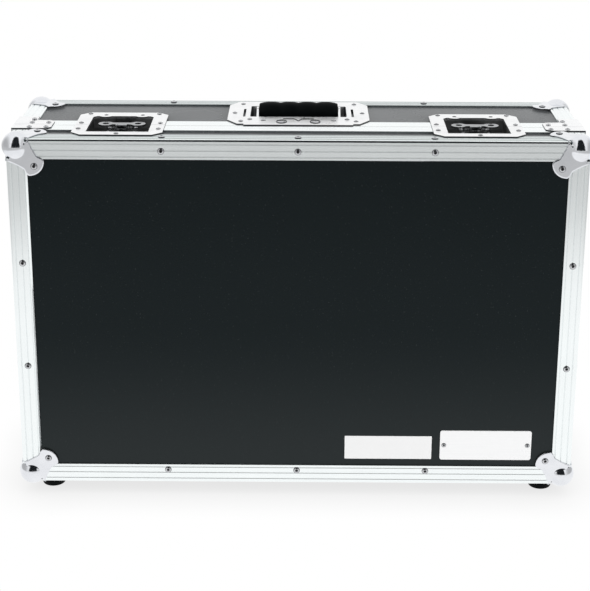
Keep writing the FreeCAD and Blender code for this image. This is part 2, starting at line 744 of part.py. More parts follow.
# Seam braces: plates bent over the long edges on both sides of the seam
def make_braces():
    plate, arm, tip = S["brace_plate"], S["brace_long"], S["brace_tip"]
    for half in ("lid", "base"):
        if half == "lid":
            near, far = -S["lid_brace_wide"], 0
            outline = [(0, near), (arm - tip, near), (arm, near + tip), (arm, far), (0, far)]
            edge = lid_edge
        else:
            far = S["base_brace_wide"]
            outline = [(0, 0), (arm, 0), (arm, far - tip), (arm - tip, far), (S["leg_wide"], far)]
            outline += [(S["leg_wide"], S["base_brace_leg"]), (0, S["base_brace_leg"])]
            edge = seam
        flat = [(x - plate if x == 0 else x, y) for x, y in outline]
        on_top = prism(half + "_brace_top", "XY_Plane", flat, (-half_width, edge, top), plate)
        on_side = prism(
            half + "_brace_side",
            "YZ_Plane",
            [(y, -x) for x, y in outline],
            (-half_width - plate, edge, top),
            plate,
        )
        brace = fuse(half + "_brace", on_top, on_side)
        low = mirrored(half + "_brace_low", brace, "Z", middle)
        left_pair = group(half + "_braces_left", brace, low)
        right_pair = mirrored(half + "_braces_right", left_pair, "X")
        node(half + "_corner_braces", group(half + "_braces", left_pair, right_pair))


# Hinges across the seam on the bottom face
hinge_y = seam - S["seam_gap"] / 2
hinge_z = bottom - S["hinge_drop"]
HINGE_SIDES = (-1, 0, 1)


def make_hinges():
    third = S["hinge_wide"] / 3
    half = S["hinge_wide"] / 2
    cleared = S["knuckle_radius"] + S["knuckle_room"]
    leaves = {"lid": [], "base": []}
    pins = []
    for side in HINGE_SIDES:
        x = hinge_offset * side
        label = "hinge_%d" % (side + 2)
        bore = cylinder(
            label + "_bore",
            (x - half - S["overrun"], hinge_y, hinge_z),
            S["hinge_pin_radius"] + S["running_fit"],
            S["hinge_wide"] + S["overrun"] * 2,
            "X",
        )
        pins.append(
            cylinder(label + "_pin", (x - half, hinge_y, hinge_z), S["hinge_pin_radius"], S["hinge_wide"], "X")
        )
        low = bottom - S["leaf_thick"]
        size = (S["hinge_wide"], S["hinge_reach"], S["leaf_thick"])
        base_plate = box(label + "_base_plate", (x - half, hinge_y, low), size)
        lid_plate = box(label + "_lid_plate", (x - half, hinge_y - S["hinge_reach"], low), size)
        middle_room = box(
            label + "_middle_room",
            (x - third / 2 - S["knuckle_gap"], hinge_y - S["overrun"], low - S["overrun"]),
            (third + S["knuckle_gap"] * 2, S["overrun"] + cleared, S["overrun"] * 2 + S["leaf_thick"]),
        )
        outer_rooms = [
            box(
                label + "_outer_room_%d" % way,
                (x + start, hinge_y - cleared, low - S["overrun"]),
                (third + S["knuckle_gap"], cleared + S["overrun"], S["overrun"] * 2 + S["leaf_thick"]),
            )
            for way, start in ((1, -half), (2, third / 2 - S["knuckle_gap"]))
        ]
        middle_knuckle = cylinder(
            label + "_knuckle_2",
            (x - third / 2 + S["knuckle_gap"], hinge_y, hinge_z),
            S["knuckle_radius"],
            third - S["knuckle_gap"] * 2,
            "X",
        )
        end_knuckles = [
            cylinder(
                label + "_knuckle_%d" % way, (x + start, hinge_y, hinge_z), S["knuckle_radius"], third, "X"
            )
            for way, start in ((1, -half), (3, third / 2))
        ]
        base_cut = cut(label + "_base_cut", base_plate, middle_room)
        lid_cut = cut(label + "_lid_cut", lid_plate, *outer_rooms)
        base_leaf = fuse(label + "_base_leaf", base_cut, *end_knuckles)
        lid_leaf = fuse(label + "_lid_leaf", lid_cut, middle_knuckle)
        leaves["base"].append(cut(label + "_base_bored", base_leaf, bore))
        leaves["lid"].append(cut(label + "_lid_bored", lid_leaf, bore))
    node("hinge_base_leaves", group("base_leaves", *leaves["base"]))
    node("hinge_lid_leaves", group("lid_leaves", *leaves["lid"]))
    node("hinge_pins", group("pins", *pins))


# Latches: a dish split at the seam, with the mechanism in the base half and the keeper in the lid half
def latch_plate_outline():
    """The base half of the latch plate, from the seam: a U round the opening, with two lobes."""
    half, reach, corner = S["latch_wide"] / 2, S["latch_reach"], S["latch_corner"]
    mouth, deep, nip = latch_half, S["latch_mouth_back"], S["mouth_corner"]
    near, far = S["lobe_offset"] - S["lobe_half"], S["lobe_offset"] + S["lobe_half"]
    hint_y = deep + S["lobe_radius"]
    return [
        (mouth, 0),
        (half, 0),
        (half, reach - corner),
        (half - corner, reach),
        (corner - half, reach),
        (-half, reach - corner),
        (-half, 0),
        (-mouth, 0),
        (-mouth, deep - nip),
        (nip - mouth, deep),
        (-far, deep, S["lobe_radius"], (-S["lobe_offset"], hint_y)),
        (-near, deep),
        (near, deep, S["lobe_radius"], (S["lobe_offset"], hint_y)),
        (far, deep),
        (mouth - nip, deep),
        (mouth, deep - nip),
    ]


def keeper_plate_outline():
    """The lid half of the latch plate, from its own edge at the seam."""
    half, reach, corner = S["latch_wide"] / 2, S["keeper_reach"] - S["seam_gap"], S["latch_corner"]
    mouth, deep = latch_half, S["keeper_mouth"] - S["seam_gap"]
    return [
        (-mouth, 0),
        (-half, 0),
        (-half, corner - reach),
        (corner - half, -reach),
        (half - corner, -reach),
        (half, corner - reach),
        (half, 0),
        (mouth, 0),
        (mouth, -deep),
        (-mouth, -deep),
    ]


def latch_pan(name, x, near, far, open_back):
    """A pressed pan between two Y places, open towards the seam."""
    thin = S["dish_plate"]
    outer_near = near - thin if open_back else near
    outer_far = far if open_back else far + thin
    inner_near = near if open_back else near - S["overrun"]
    inner_far = far + S["overrun"] if open_back else far
    outer = box(
        name + "_outer",
        (x - latch_half - thin, outer_near, latch_floor - thin),
        (S["latch_mouth"] + thin * 2, outer_far - outer_near, S["latch_deep"] + thin),
    )
    inner = box(
        name + "_inner",
        (x - latch_half, inner_near, latch_floor),
        (S["latch_mouth"], inner_far - inner_near, S["latch_deep"] + S["overrun"]),
    )
    return cut(name + "_pan", outer, inner)


def make_latch(side, x):
    thin = S["dish_plate"]
    spindle_y = seam + S["spindle_back"]
    oval_y = S["latch_reach"] - S["oval_inset"]
    plate = prism(
        side + "_latch_plate",
        "XY_Plane",
        latch_plate_outline(),
        (x, seam, top),
        thin,
        circles=[(-S["lobe_offset"], oval_y, S["oval_radius"]), (S["lobe_offset"], oval_y, S["oval_radius"])],
    )
    pan = latch_pan(side + "_latch", x, seam, seam + S["latch_mouth_back"], False)
    node(side + "_latch_dish", fuse(side + "_latch_fused", plate, pan))
    plate = prism(
        side + "_keeper_plate", "XY_Plane", keeper_plate_outline(), (x, lid_edge, top), thin
    )
    pan = latch_pan(side + "_keeper", x, seam - S["keeper_mouth"], lid_edge, True)
    keeper_bar = box(
        side + "_keeper_bar",
        (x - S["keeper_bar_wide"] / 2, seam - S["keeper_bar_front"], latch_floor),
        (S["keeper_bar_wide"], S["keeper_bar_thick"], S["bed_high"]),
    )
    node(side + "_keeper_dish", fuse(side + "_keeper_fused", plate, pan))

    bed_top = latch_floor + S["bed_high"]
    bed = box(
        side + "_bed",
        (x - S["bed_wide"] / 2, seam + S["bed_front"], latch_floor),
        (S["bed_wide"], S["bed_back"] - S["bed_front"], S["bed_high"]),
    )
    rail_in = S["hook_wide"] / 2 + S["hook_lift"]
    rail_size = (S["rail_wide"], S["bed_back"] - S["bed_front"], S["rail_high"])
    rails = [
        box(side + "_rail_1", (x - rail_in - S["rail_wide"], seam + S["bed_front"], bed_top), rail_size),
        box(side + "_rail_2", (x + rail_in, seam + S["bed_front"], bed_top), rail_size),
    ]
    bore = cylinder(
        side + "_bed_bore",
        (x, spindle_y, latch_floor - S["overrun"]),
        S["spindle_radius"] + S["running_fit"],
        S["bed_high"] + S["overrun"] * 2,
    )
    bed_bored = cut(side + "_bed_bored", fuse(side + "_bed_fused", bed, *rails), bore)

    slot_half = S["spindle_radius"] + S["hook_slot_room"]
    hook_z = bed_top + S["hook_lift"]
    slot_near = S["spindle_back"] - slot_half
    slot_far = S["spindle_back"] + slot_half + S["hook_travel"]
    half = S["hook_wide"] / 2
    slot = [(-slot_half, slot_near), (slot_half, slot_near), (slot_half, slot_far), (-slot_half, slot_far)]
    strip = prism(
        side + "_hook_strip",
        "XY_Plane",
        [(-half, -S["hook_nose"]), (half, -S["hook_nose"]), (half, S["hook_tail"]), (-half, S["hook_tail"])],
        (x, seam, hook_z),
        S["hook_thick"],
        loops=[slot],
    )
    nose = box(
        side + "_hook_nose",
        (x - half, seam - S["hook_nose"], hook_z),
        (S["hook_wide"], S["nose_long"], S["hook_thick"] + S["nose_high"]),
    )
    node(side + "_latch_hook", fuse(side + "_hook", strip, nose))

    head_z = bed_top + S["rail_high"] + S["head_gap"]
    head_top = head_z + S["head_high"]
    pin_z = head_top + S["wing_pin_rise"]
    stem_z = latch_floor + S["spindle_seat"]
    stem = cylinder(side + "_stem", (x, spindle_y, stem_z), S["spindle_radius"], head_top - stem_z)
    head = cylinder(side + "_head", (x, spindle_y, head_z), S["head_radius"], S["head_high"])
    lug_size = (S["lug_thick"], S["lug_half"] * 2, S["lug_high"])
    lug_1 = box(
        side + "_lug_1", (x - S["lug_inner"] - S["lug_thick"], spindle_y - S["lug_half"], head_top), lug_size
    )
    lug_2 = box(side + "_lug_2", (x + S["lug_inner"], spindle_y - S["lug_half"], head_top), lug_size)
    pin = cylinder(
        side + "_wing_pin",
        (x - S["lug_inner"] - S["lug_thick"], spindle_y, pin_z),
        S["wing_pin_radius"],
        (S["lug_inner"] + S["lug_thick"]) * 2,
        "X",
    )
    node(side + "_latch_spindle", fuse(side + "_spindle", stem, head, lug_1, lug_2, pin))

    wing_z = pin_z - S["wing_thick"] / 2
    lobe_y = spindle_y + S["wing_lobe_back"]
    lobes = [
        cylinder(
            side + "_wing_lobe_%d" % way,
            (x + S["wing_lobe_offset"] * way, lobe_y, wing_z),
            S["wing_lobe_radius"],
            S["wing_thick"],
        )
        for way in (-1, 1)
    ]
    bar = box(
        side + "_wing_bar",
        (x - S["wing_lobe_offset"], lobe_y - S["wing_bar_wide"] / 2, wing_z),
        (S["wing_lobe_offset"] * 2, S["wing_bar_wide"], S["wing_thick"]),
    )
    tongue = box(
        side + "_wing_tongue",
        (x - S["wing_tongue"] / 2, spindle_y, wing_z),
        (S["wing_tongue"], S["wing_lobe_back"], S["wing_thick"]),
    )
    knuckle = cylinder(
        side + "_wing_knuckle",
        (x - S["wing_tongue"] / 2, spindle_y, pin_z),
        S["wing_knuckle_radius"],
        S["wing_tongue"],
        "X",
    )
    plate = fuse(side + "_wing_plate", bar, tongue, knuckle, *lobes)
    holes = [
        cylinder(
            side + "_wing_hole_%d" % way,
            (x + S["wing_lobe_offset"] * way, lobe_y, wing_z - S["overrun"]),
            S["wing_lobe_hole"],
            S["wing_thick"] + S["overrun"] * 2,
        )
        for way in (-1, 1)
    ]
    pin_bore = cylinder(
        side + "_wing_bore",
        (x - S["wing_tongue"], spindle_y, pin_z),
        S["wing_pin_radius"] + S["running_fit"],
        S["wing_tongue"] * 2,
        "X",
    )
    node(side + "_latch_wing", cut(side + "_wing", plate, *holes, pin_bore))
    return bed_bored, keeper_bar


# Handle: a plate with a pan, and a sprung bail with a rubber grip
pivot_y = from_front(S["handle_mouth_front"]) + S["pivot_back"]
pivot_z = top - S["pivot_drop"]
grip_y = from_front(S["handle_mouth_front"]) + S["grip_back"]
grip_z = top + S["grip_above"]


def rounded_loop(half, near, far, corner):
    """A rectangle with rounded corners, between two Y places and centred in X."""
    return [
        (-half + corner, near),
        (half - corner, near, corner, (half - corner, near + corner)),
        (half, near + corner),
        (half, far - corner, corner, (half - corner, far - corner)),
        (half - corner, far),
        (-half + corner, far, corner, (-half + corner, far - corner)),
        (-half, far - corner),
        (-half, near + corner, corner, (-half + corner, near + corner)),
    ]


def make_handle():
    thin = S["dish_plate"]
    half, lip, step = S["handle_wide"] / 2, S["handle_lip_half"], S["handle_lip_long"]
    near, far = S["handle_front"], S["handle_back"]
    cut_x, cut_y = S["handle_cut_wide"], S["handle_cut_long"]
    mouth_half = S["handle_mouth"] / 2
    outline = [
        (-lip, near),
        (lip, near),
        (lip, near + step),
        (half - cut_x, near + step),
        (half, near + step + cut_y),
        (half, far - cut_y),
        (half - cut_x, far),
        (cut_x - half, far),
        (-half, far - cut_y),
        (-half, near + step + cut_y),
        (cut_x - half, near + step),
        (-lip, near + step),
    ]
    mouth = rounded_loop(
        mouth_half, S["handle_mouth_front"], S["handle_mouth_back"], S["handle_mouth_round"]
    )
    vents = []
    for way in (-1, 1):
        inner, outer = S["vent_inset"] * way, (S["vent_inset"] + S["vent_wide"]) * way
        low, high = S["handle_mouth_front"], S["handle_mouth_front"] + S["vent_long"]
        vents.append([(inner, low), (outer, low), (outer, high), (inner, high)])
    plate = prism("handle_plate", "XY_Plane", outline, (0, front, top), thin, loops=[mouth, *vents])
    pan_outer = prism(
        "handle_pan_outer",
        "XY_Plane",
        rounded_loop(
            mouth_half + thin,
            S["handle_mouth_front"] - thin,
            S["handle_mouth_back"] + thin,
            S["handle_mouth_round"] + thin,
        ),
        (0, front, handle_floor - thin),
        S["handle_deep"] + thin,
    )
    pan_inner = prism(
        "handle_pan_inner", "XY_Plane", mouth, (0, front, handle_floor), S["handle_deep"] + S["overrun"]
    )
    pan = cut("handle_pan", pan_outer, pan_inner)
    stub_bore = cylinder(
        "stub_bore",
        (-half, pivot_y, pivot_z),
        S["stub_radius"] + S["running_fit"],
        S["handle_wide"],
        "X",
    )
    node("handle_dish", cut("handle_dish_bored", fuse("handle_dish_fused", plate, pan), stub_bore))

    arm_in = S["grip_long"] / 2 + S["arm_gap"]
    arm_out = arm_in + S["arm_thick"]
    core = cylinder("bail_core", (-arm_out, grip_y, grip_z), S["core_radius"], arm_out * 2, "X")
    arms = []
    stubs = []
    for way in (-1, 1):
        label = "bail_%d" % (way + 2)
        start = arm_in if way > 0 else -arm_out
        run = grip_y - pivot_y
        rise = grip_z - pivot_z
        wide = S["arm_half"]
        arms.append(
            prism(
                label + "_arm",
                "YZ_Plane",
                [(0, -wide), (run, rise - wide), (run, rise + wide), (0, wide)],
                (start, pivot_y, pivot_z),
                S["arm_thick"],
            )
        )
        arms.append(
            cylinder(label + "_eye", (start, pivot_y, pivot_z), S["arm_half"], S["arm_thick"], "X")
        )
        arms.append(
            cylinder(label + "_boss", (start, grip_y, grip_z), S["arm_half"], S["arm_thick"], "X")
        )
        stub_out = mouth_half + thin + S["stub_past"]
        stub_start = arm_in if way > 0 else -stub_out
        stubs.append(
            cylinder(
                label + "_stub", (stub_start, pivot_y, pivot_z), S["stub_radius"], stub_out - arm_in, "X"
            )
        )
    node("handle_bail", fuse("bail", core, *arms, *stubs))

    end = S["grip_long"] / 2
    shoulder = end - S["grip_end_long"]
    bump = shoulder * 2 / GRIP_BUMPS
    outline = [(-end, S["core_radius"] + S["running_fit"]), (-end, S["grip_end"])]
    for step in range(GRIP_BUMPS):
        x = bump * step - shoulder
        outline.append((x, S["grip_valley"], S["bump_radius"], (x + bump / 2, 0)))
    outline += [(shoulder, S["grip_valley"]), (end, S["grip_end"])]
    outline += [(end, S["core_radius"] + S["running_fit"])]
    node("handle_grip", turned("grip", "XZ_Plane", outline, (0, grip_y, grip_z), "H_Axis"))
    make_springs(mouth_half)


def make_springs(mouth_half):
    """A coil round each pivot stub, one unbroken wire between the arm and the dish's wall."""
    length = S["spring_turns_long"].number
    coils = []
    for way in (-1, 1):
        helix = Part.makeHelix(S["spring_pitch"].number, length, S["spring_radius"].number)
        start = FreeCAD.Vector(S["spring_radius"].number, 0, 0)
        section = Part.Wire([Part.makeCircle(S["spring_wire"].number, start, FreeCAD.Vector(0, 1, 0))])
        coil = Part.Wire(helix).makePipeShell([section], True, True)
        near = (mouth_half - S["spring_gap"] - S["spring_wire"]).number
        coil.Placement = FreeCAD.Placement(
            FreeCAD.Vector(near * way, pivot_y.number, pivot_z.number),
            FreeCAD.Rotation(FreeCAD.Vector(0, 0, 1), FreeCAD.Vector(-way, 0, 0)),
        )
        coils.append(coil)
    springs = doc.addObject("Part::Feature", "springs")
    springs.Shape = Part.makeCompound(coils)
    node("handle_springs", springs)


# Foam lining
def make_foam_strips(start, near, far, low):
    """Strips that fill the room between the foam sheet and the top wall, beside and behind the dishes."""
    seam_room = S["foam_seam"]
    pocket = notch_half + S["foam_room"]
    pocket_back = latch_notch_back + S["foam_room"]
    columns = [
        ("outer", start, -latch_offset - pocket - seam_room, near, far),
        ("latch", -latch_offset - pocket, -latch_offset + pocket, pocket_back, far),
        ("inner", -latch_offset + pocket + seam_room, -handle_hole_half - seam_room, near, far),
    ]
    strips = []
    for name, left, right, front_end, back_end in columns:
        size = (right - left, back_end - front_end, inner_top - low)
        strip = box("strip_" + name, (left, front_end, low), size)
        strips += [strip, mirrored("strip_%s_right" % name, strip, "X")]
    for name, front_end, back_end in (("front", near, handle_hole_front), ("back", handle_hole_back, far)):
        size = (handle_hole_half * 2, back_end - front_end, inner_top - low)
        strips.append(box("strip_handle_" + name, (-handle_hole_half, front_end, low), size))
    return strips


def make_foam():
    deep_end = back - wall - panel
    floor_y = deep_end - S["floor_foam"]
    near = seam + S["lip_wide"] + S["seam_gap"]
    wide = inner_half * 2
    high = inner_top - inner_bottom
    node(
        "base_floor_foam",
        box("floor_foam_block", (-inner_half, floor_y, inner_bottom), (wide, S["floor_foam"], high)),
    )
    run = floor_y - near
    left = box("foam_left", (-inner_half, near, inner_bottom), (S["wall_foam"], run, high))
    right = mirrored("foam_right", left, "X")
    between = wide - S["wall_foam"] * 2
    start = S["wall_foam"] - inner_half
    low = box("foam_low", (start, near, inner_bottom), (between, run, S["wall_foam"]))
    sheet_low = inner_top - S["top_foam"]
    sheet_top = handle_floor - S["dish_plate"] - S["foam_room"]
    sheet = box("foam_sheet", (start, near, sheet_low), (between, run, sheet_top - sheet_low))
    strips = make_foam_strips(start, near, floor_y, sheet_top)
    node("base_wall_foam", group("foam_walls", left, right, low, sheet, *strips))
    pad_y = front + wall + panel
    pad = box("lid_pad", (-inner_half, pad_y, inner_bottom), (wide, S["lid_foam_thick"], high))
    node("lid_foam", pad)


# Rubber feet under the corner castings' bottom paddles
foot_x = half_width - S["paddle_rivet"]
foot_top = bottom - S["paddle_plate"]


def make_feet():
    for half, y in (("lid", front + S["paddle_rivet"]), ("base", back - S["paddle_rivet"])):
        block = cone(
            half + "_foot", (-foot_x, y, 0), S["foot_low_radius"], S["foot_top_radius"], foot_top
        )
        recess = cylinder(
            half + "_foot_recess",
            (-foot_x, y, -S["overrun"]),
            S["foot_bore_radius"],
            S["foot_bore_deep"] + S["overrun"],
        )
        left = cut(half + "_foot_left", block, recess)
        node(half + "_feet", group(half + "_feet_pair", left, mirrored(half + "_foot_right", left, "X")))


name_plate_left = half_width - S["name_plate_right"] - S["name_plate_wide"]


def make_front_plates():
    """The blank name plate and the blank label on the lid's front panel."""
    x, z = name_plate_left, bottom + S["name_plate_low"]
    half, high, corner = S["name_plate_wide"] / 2, S["name_plate_high"], S["name_plate_round"]
    surface = front + wall
    node(
        "name_plate",
        prism(
            "plate_body",
            "XZ_Plane",
            rounded_loop(half, 0, high, corner),
            (x + half, surface - S["name_plate_thick"], z),
            S["name_plate_thick"],
        ),
    )
    node(
        "blank_label",
        box(
            "label_body",
            (x - S["label_gap"] - S["label_wide"], surface - S["label_thick"], bottom + S["label_low"]),
            (S["label_wide"], S["label_thick"], S["label_high"]),
        ),
    )


# Fasteners
def rivet_body(name, radius, high, hole, deep):
    """A domed blind rivet head with the small hole that its mandrel leaves."""
    points = [(0, 0), (radius, 0)]
    points += [(radius * out, high * up) for out, up in RIVET_SHARES]
    points += [(hole + (radius - hole) * RIVET_FLAT_SHARE, high), (hole, high)]
    points += [(hole, high - deep), (0, high - deep)]
    return turned(name, "XZ_Plane", points, (0, 0, 0), "V_Axis")


def screw_body(name):
    head = cylinder(name + "_head", (0, 0, 0), S["screw_radius"], S["screw_high"])
    long, wide = S["screw_cross_long"], S["screw_cross_wide"]
    deep_z = S["screw_high"] - S["screw_cross_deep"]
    first = box(name + "_slot_1", (-long / 2, -wide / 2, deep_z), (long, wide, S["screw_high"]))
    second = box(name + "_slot_2", (-wide / 2, -long / 2, deep_z), (wide, long, S["screw_high"]))
    return cut(name, head, first, second)


def both(places):
    """The places and their mirror images across X = 0."""
    return places + [(-x, y, z, (-d[0], d[1], d[2])) for x, y, z, d in places]


def front_to_back(places):
    """The mirror images of places across Y = 0."""
    return [(x, -y, z, (d[0], -d[1], d[2])) for x, y, z, d in places]


def make_fasteners():
    rivet = rivet_body(
        "rivet", S["rivet_radius"], S["rivet_high"], S["rivet_hole"], S["rivet_hole_deep"]
    )
    small = rivet_body(
        "small_rivet",
        S["small_rivet_radius"],
        S["small_rivet_high"],
        S["rivet_hole"] / 2,
        S["rivet_hole_deep"] / 2,
    )
    screw = screw_body("screw")

    inset = S["flange_rivet_inset"]
    ring = []
    for step in (-1, 0, 1):
        x = S["case_width"] * RIVET_STEP_SHARE * step
        ring.append((x, front, top - S["front_rivet_inset"], FORWARD))
        ring.append((x, front, bottom + S["low_rivet_inset"], FORWARD))
        ring.append((x, front + inset, top, UP))
        ring.append((x, front + inset, bottom, DOWN))
    sides = []
    for share in SIDE_RIVET_SHARES:
        z = bottom + S["case_height"] * share
        sides.append((half_width - S["side_rivet_inset"], front, z, FORWARD))
        sides.append((half_width, front + inset, z, RIGHT))
    ring += both(sides)
    node("lid_edge_rivets", fasteners("lid_rivets", rivet, ring))
    back_ring = front_to_back(ring)
    hidden = [p for p in back_ring if p[3] == UP and number(p[0]) == 0]
    node("base_edge_rivets", fasteners("base_rivets", rivet, [p for p in back_ring if p not in hidden]))

    spot, plate = S["paddle_rivet"], S["paddle_plate"]
    corner = [
        (half_width - spot, front - plate, top - spot, FORWARD),
        (half_width - spot, front - plate, bottom + spot, FORWARD),
        (half_width - spot, front + spot, top + plate, UP),
        (half_width + plate, front + spot, top - spot, RIGHT),
        (half_width + plate, front + spot, bottom + spot, RIGHT),
    ]
    node("lid_corner_rivets", fasteners("lid_paddle_rivets", rivet, both(corner)))
    node("base_corner_rivets", fasteners("base_paddle_rivets", rivet, front_to_back(both(corner))))

    near, outer, skin = S["brace_screw_near"], S["brace_screw_far"], S["brace_plate"]
    for half in ("lid", "base"):
        y = seam - S["lid_screw_front"] if half == "lid" else seam + S["base_screw_back"]
        along = [(near, y), (outer, y)]
        if half == "base":
            along.append((near, seam + S["leg_screw_back"]))
        spots = []
        for reach, y_spot in along:
            spots.append((half_width - reach, y_spot, top + skin, UP))
            spots.append((half_width - reach, y_spot, bottom - skin, DOWN))
            spots.append((half_width + skin, y_spot, top - reach, RIGHT))
            spots.append((half_width + skin, y_spot, bottom + reach, RIGHT))
        node(half + "_brace_screws", fasteners(half + "_brace_screw_set", screw, both(spots)))

    leaf = bottom - S["leaf_thick"]
    leaf_screw = S["hinge_reach"] * LEAF_SCREW_SHARE
    for half, y in (("lid", hinge_y - leaf_screw), ("base", hinge_y + leaf_screw)):
        spots = []
        for side in HINGE_SIDES:
            for way in (-1, 1):
                spots.append((hinge_offset * side + S["hinge_wide"] / 3 * way, y, leaf, DOWN))
        node("hinge_%s_screws" % half, fasteners("hinge_%s_screw_set" % half, screw, spots))

    for half, y in (("lid", front + S["paddle_rivet"]), ("base", back - S["paddle_rivet"])):
        spots = [(way * foot_x, y, S["foot_bore_deep"], DOWN) for way in (-1, 1)]
        node(half + "_foot_screws", fasteners(half + "_foot_screw_set", screw, spots))

    plate_y = front + wall - S["name_plate_thick"]
    z = bottom + S["name_plate_low"] + S["name_plate_high"] / 2
    ends = (S["name_screw_inset"], S["name_plate_wide"] - S["name_screw_inset"])
    spots = [(name_plate_left + end, plate_y, z, FORWARD) for end in ends]
    node("name_plate_screws", fasteners("name_screw_set", small, spots))

    skin = top + S["dish_plate"]
    rim = S["latch_rivet_inset"]
    half = S["latch_wide"] / 2
    base_spots, lid_spots = [], []
    for way in (-1, 1):
        x = latch_offset * way
        for sign in (-1, 1):
            edge = x + (half - rim) * sign
            inward = x + (half - S["latch_corner"]) * sign
            base_spots.append((edge, seam + S["latch_rivet_back"], skin, UP))
            base_spots.append((inward, seam + S["latch_reach"] - rim, skin, UP))
            lid_spots.append((edge, seam - S["keeper_rivet_front"], skin, UP))
            for depth in (S["bed_front"] + S["bed_rivet_in"], S["bed_back"] - S["bed_rivet_in"]):
                bed_x = x + (S["bed_wide"] / 2 - S["bed_rivet_side"]) * sign
                base_spots.append((bed_x, seam + depth, latch_floor + S["bed_high"], UP))
        lid_spots.append((x, seam - S["keeper_reach"] + rim, skin, UP))
    node("latch_rivets", fasteners("latch_rivet_set", small, base_spots))
    node("keeper_rivets", fasteners("keeper_rivet_set", small, lid_spots))

    corner, side = S["handle_rivet_corner"], S["handle_rivet_x"]
    spots = [
        (corner, from_front(S["handle_rivet_front"]), skin, UP),
        (side, from_front(S["handle_rivet_middle"]), skin, UP),
        (corner, from_front(S["handle_rivet_back"]), skin, UP),
        (S["lip_rivet_wide"], from_front(S["lip_rivet_wide_back"]), skin, UP),
        (S["lip_rivet_mid"], from_front(S["lip_rivet_mid_back"]), skin, UP),
    ]
    dish_set = fasteners("handle_rivet_set", small, both(spots))
    boss = rivet_body(
        "boss", S["boss_radius"], S["boss_high"], S["rivet_hole"], S["rivet_hole_deep"] / 2
    )
    spots = [(S["lip_rivet_near"], from_front(S["lip_rivet_near_back"]), skin, UP)]
    boss_set = fasteners("handle_boss_set", boss, both(spots))
    node("handle_rivets", group("handle_rivet_group", dish_set, boss_set))


make_panels()
make_angles()
make_seam_bars()
make_corners()
make_braces()
make_hinges()
left_bed, left_bar = make_latch("left", -latch_offset)
right_bed, right_bar = make_latch("right", latch_offset)
node("latch_beds", group("beds", left_bed, right_bed))
node("keeper_bars", group("bars", left_bar, right_bar))
make_handle()
make_foam()
make_feet()
make_front_plates()
make_fasteners()
doc.recompute()

for thing in doc.Objects:
    if "Invalid" in thing.State or "Error" in thing.State:
        raise RuntimeError("%s did not rebuild" % thing.Name)
for name, piece in NODES.items():
    if piece.Shape.isNull() or not piece.Shape.isValid() or not piece.Shape.Solids:
        raise RuntimeError("%s has no valid solid" % name)

os.makedirs("parts", exist_ok=True)
for name, piece in NODES.items():
    piece.Shape.exportStep("parts/%s.step" % name)
    print("%-26s %3d solids %12.1f mm3" % (name, len(piece.Shape.Solids), piece.Shape.Volume))
print(len(NODES), "nodes")
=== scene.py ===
# %% [markdown]
# Flight case for a guitar pedal board
#
# The case is a plywood box with a black laminate skin. Aluminium angles guard its edges, steel balls its
# corners. The exact shapes come from the CAD frame. This lesson gives each of them its finish, and makes
# again what CAD leaves plain: rivet heads, screws, springs, foam and the soft edges of pressed steel.

# %% Load the frame
import json
import math
from collections import namedtuple

import bmesh
import bpy
import numpy as np
from mathutils import Matrix, Vector


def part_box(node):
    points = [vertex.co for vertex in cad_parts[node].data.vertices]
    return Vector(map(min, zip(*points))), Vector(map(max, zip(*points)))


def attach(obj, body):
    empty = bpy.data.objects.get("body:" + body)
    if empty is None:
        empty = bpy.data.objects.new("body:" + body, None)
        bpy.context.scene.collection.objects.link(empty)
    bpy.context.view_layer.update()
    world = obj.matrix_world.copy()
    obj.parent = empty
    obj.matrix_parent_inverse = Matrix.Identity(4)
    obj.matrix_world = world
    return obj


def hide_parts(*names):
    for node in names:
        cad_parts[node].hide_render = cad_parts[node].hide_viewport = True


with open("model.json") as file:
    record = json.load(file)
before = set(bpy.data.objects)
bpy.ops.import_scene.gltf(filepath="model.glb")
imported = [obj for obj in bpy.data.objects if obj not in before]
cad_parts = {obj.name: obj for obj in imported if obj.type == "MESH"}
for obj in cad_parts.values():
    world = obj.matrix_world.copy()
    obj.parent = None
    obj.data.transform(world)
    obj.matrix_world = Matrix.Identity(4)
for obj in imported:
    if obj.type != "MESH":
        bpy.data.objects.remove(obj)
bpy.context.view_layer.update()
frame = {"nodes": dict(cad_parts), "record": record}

MM = 0.001
NODES = frame["nodes"]
BODIES = {
    node: body for body, nodes in frame["record"]["behaviour"]["bodies"].items() for node in nodes
}

# %% [markdown]
# The camera stands where the photographer's stood. Its place was worked out from the corners of the case
# in the picture: 1.9 m away, a little above, looking 18 degrees down. The picture shows the part of the
# lens's view below its axis, which is what a lens shift does.

# %% Camera
CAMERA_PLACE = Vector((6.46, -1862.48, 927.17)) * MM
CAMERA_YAW = math.radians(-0.3152)
CAMERA_PITCH = math.radians(17.7201)
CAMERA_ROLL = math.radians(0.2215)
SENSOR_WIDTH, LENS_LENGTH, LENS_SHIFT = 36, 92.75, -0.121
CLIP_NEAR, CLIP_FAR = 0.05, 60

ahead = Vector((
    math.sin(CAMERA_YAW) * math.cos(CAMERA_PITCH),
    math.cos(CAMERA_YAW) * math.cos(CAMERA_PITCH),
    -math.sin(CAMERA_PITCH),
))
level_right = Vector((math.cos(CAMERA_YAW), -math.sin(CAMERA_YAW), 0))
level_up = level_right.cross(ahead)
right = level_right * math.cos(CAMERA_ROLL) + level_up * math.sin(CAMERA_ROLL)
up = level_up * math.cos(CAMERA_ROLL) - level_right * math.sin(CAMERA_ROLL)

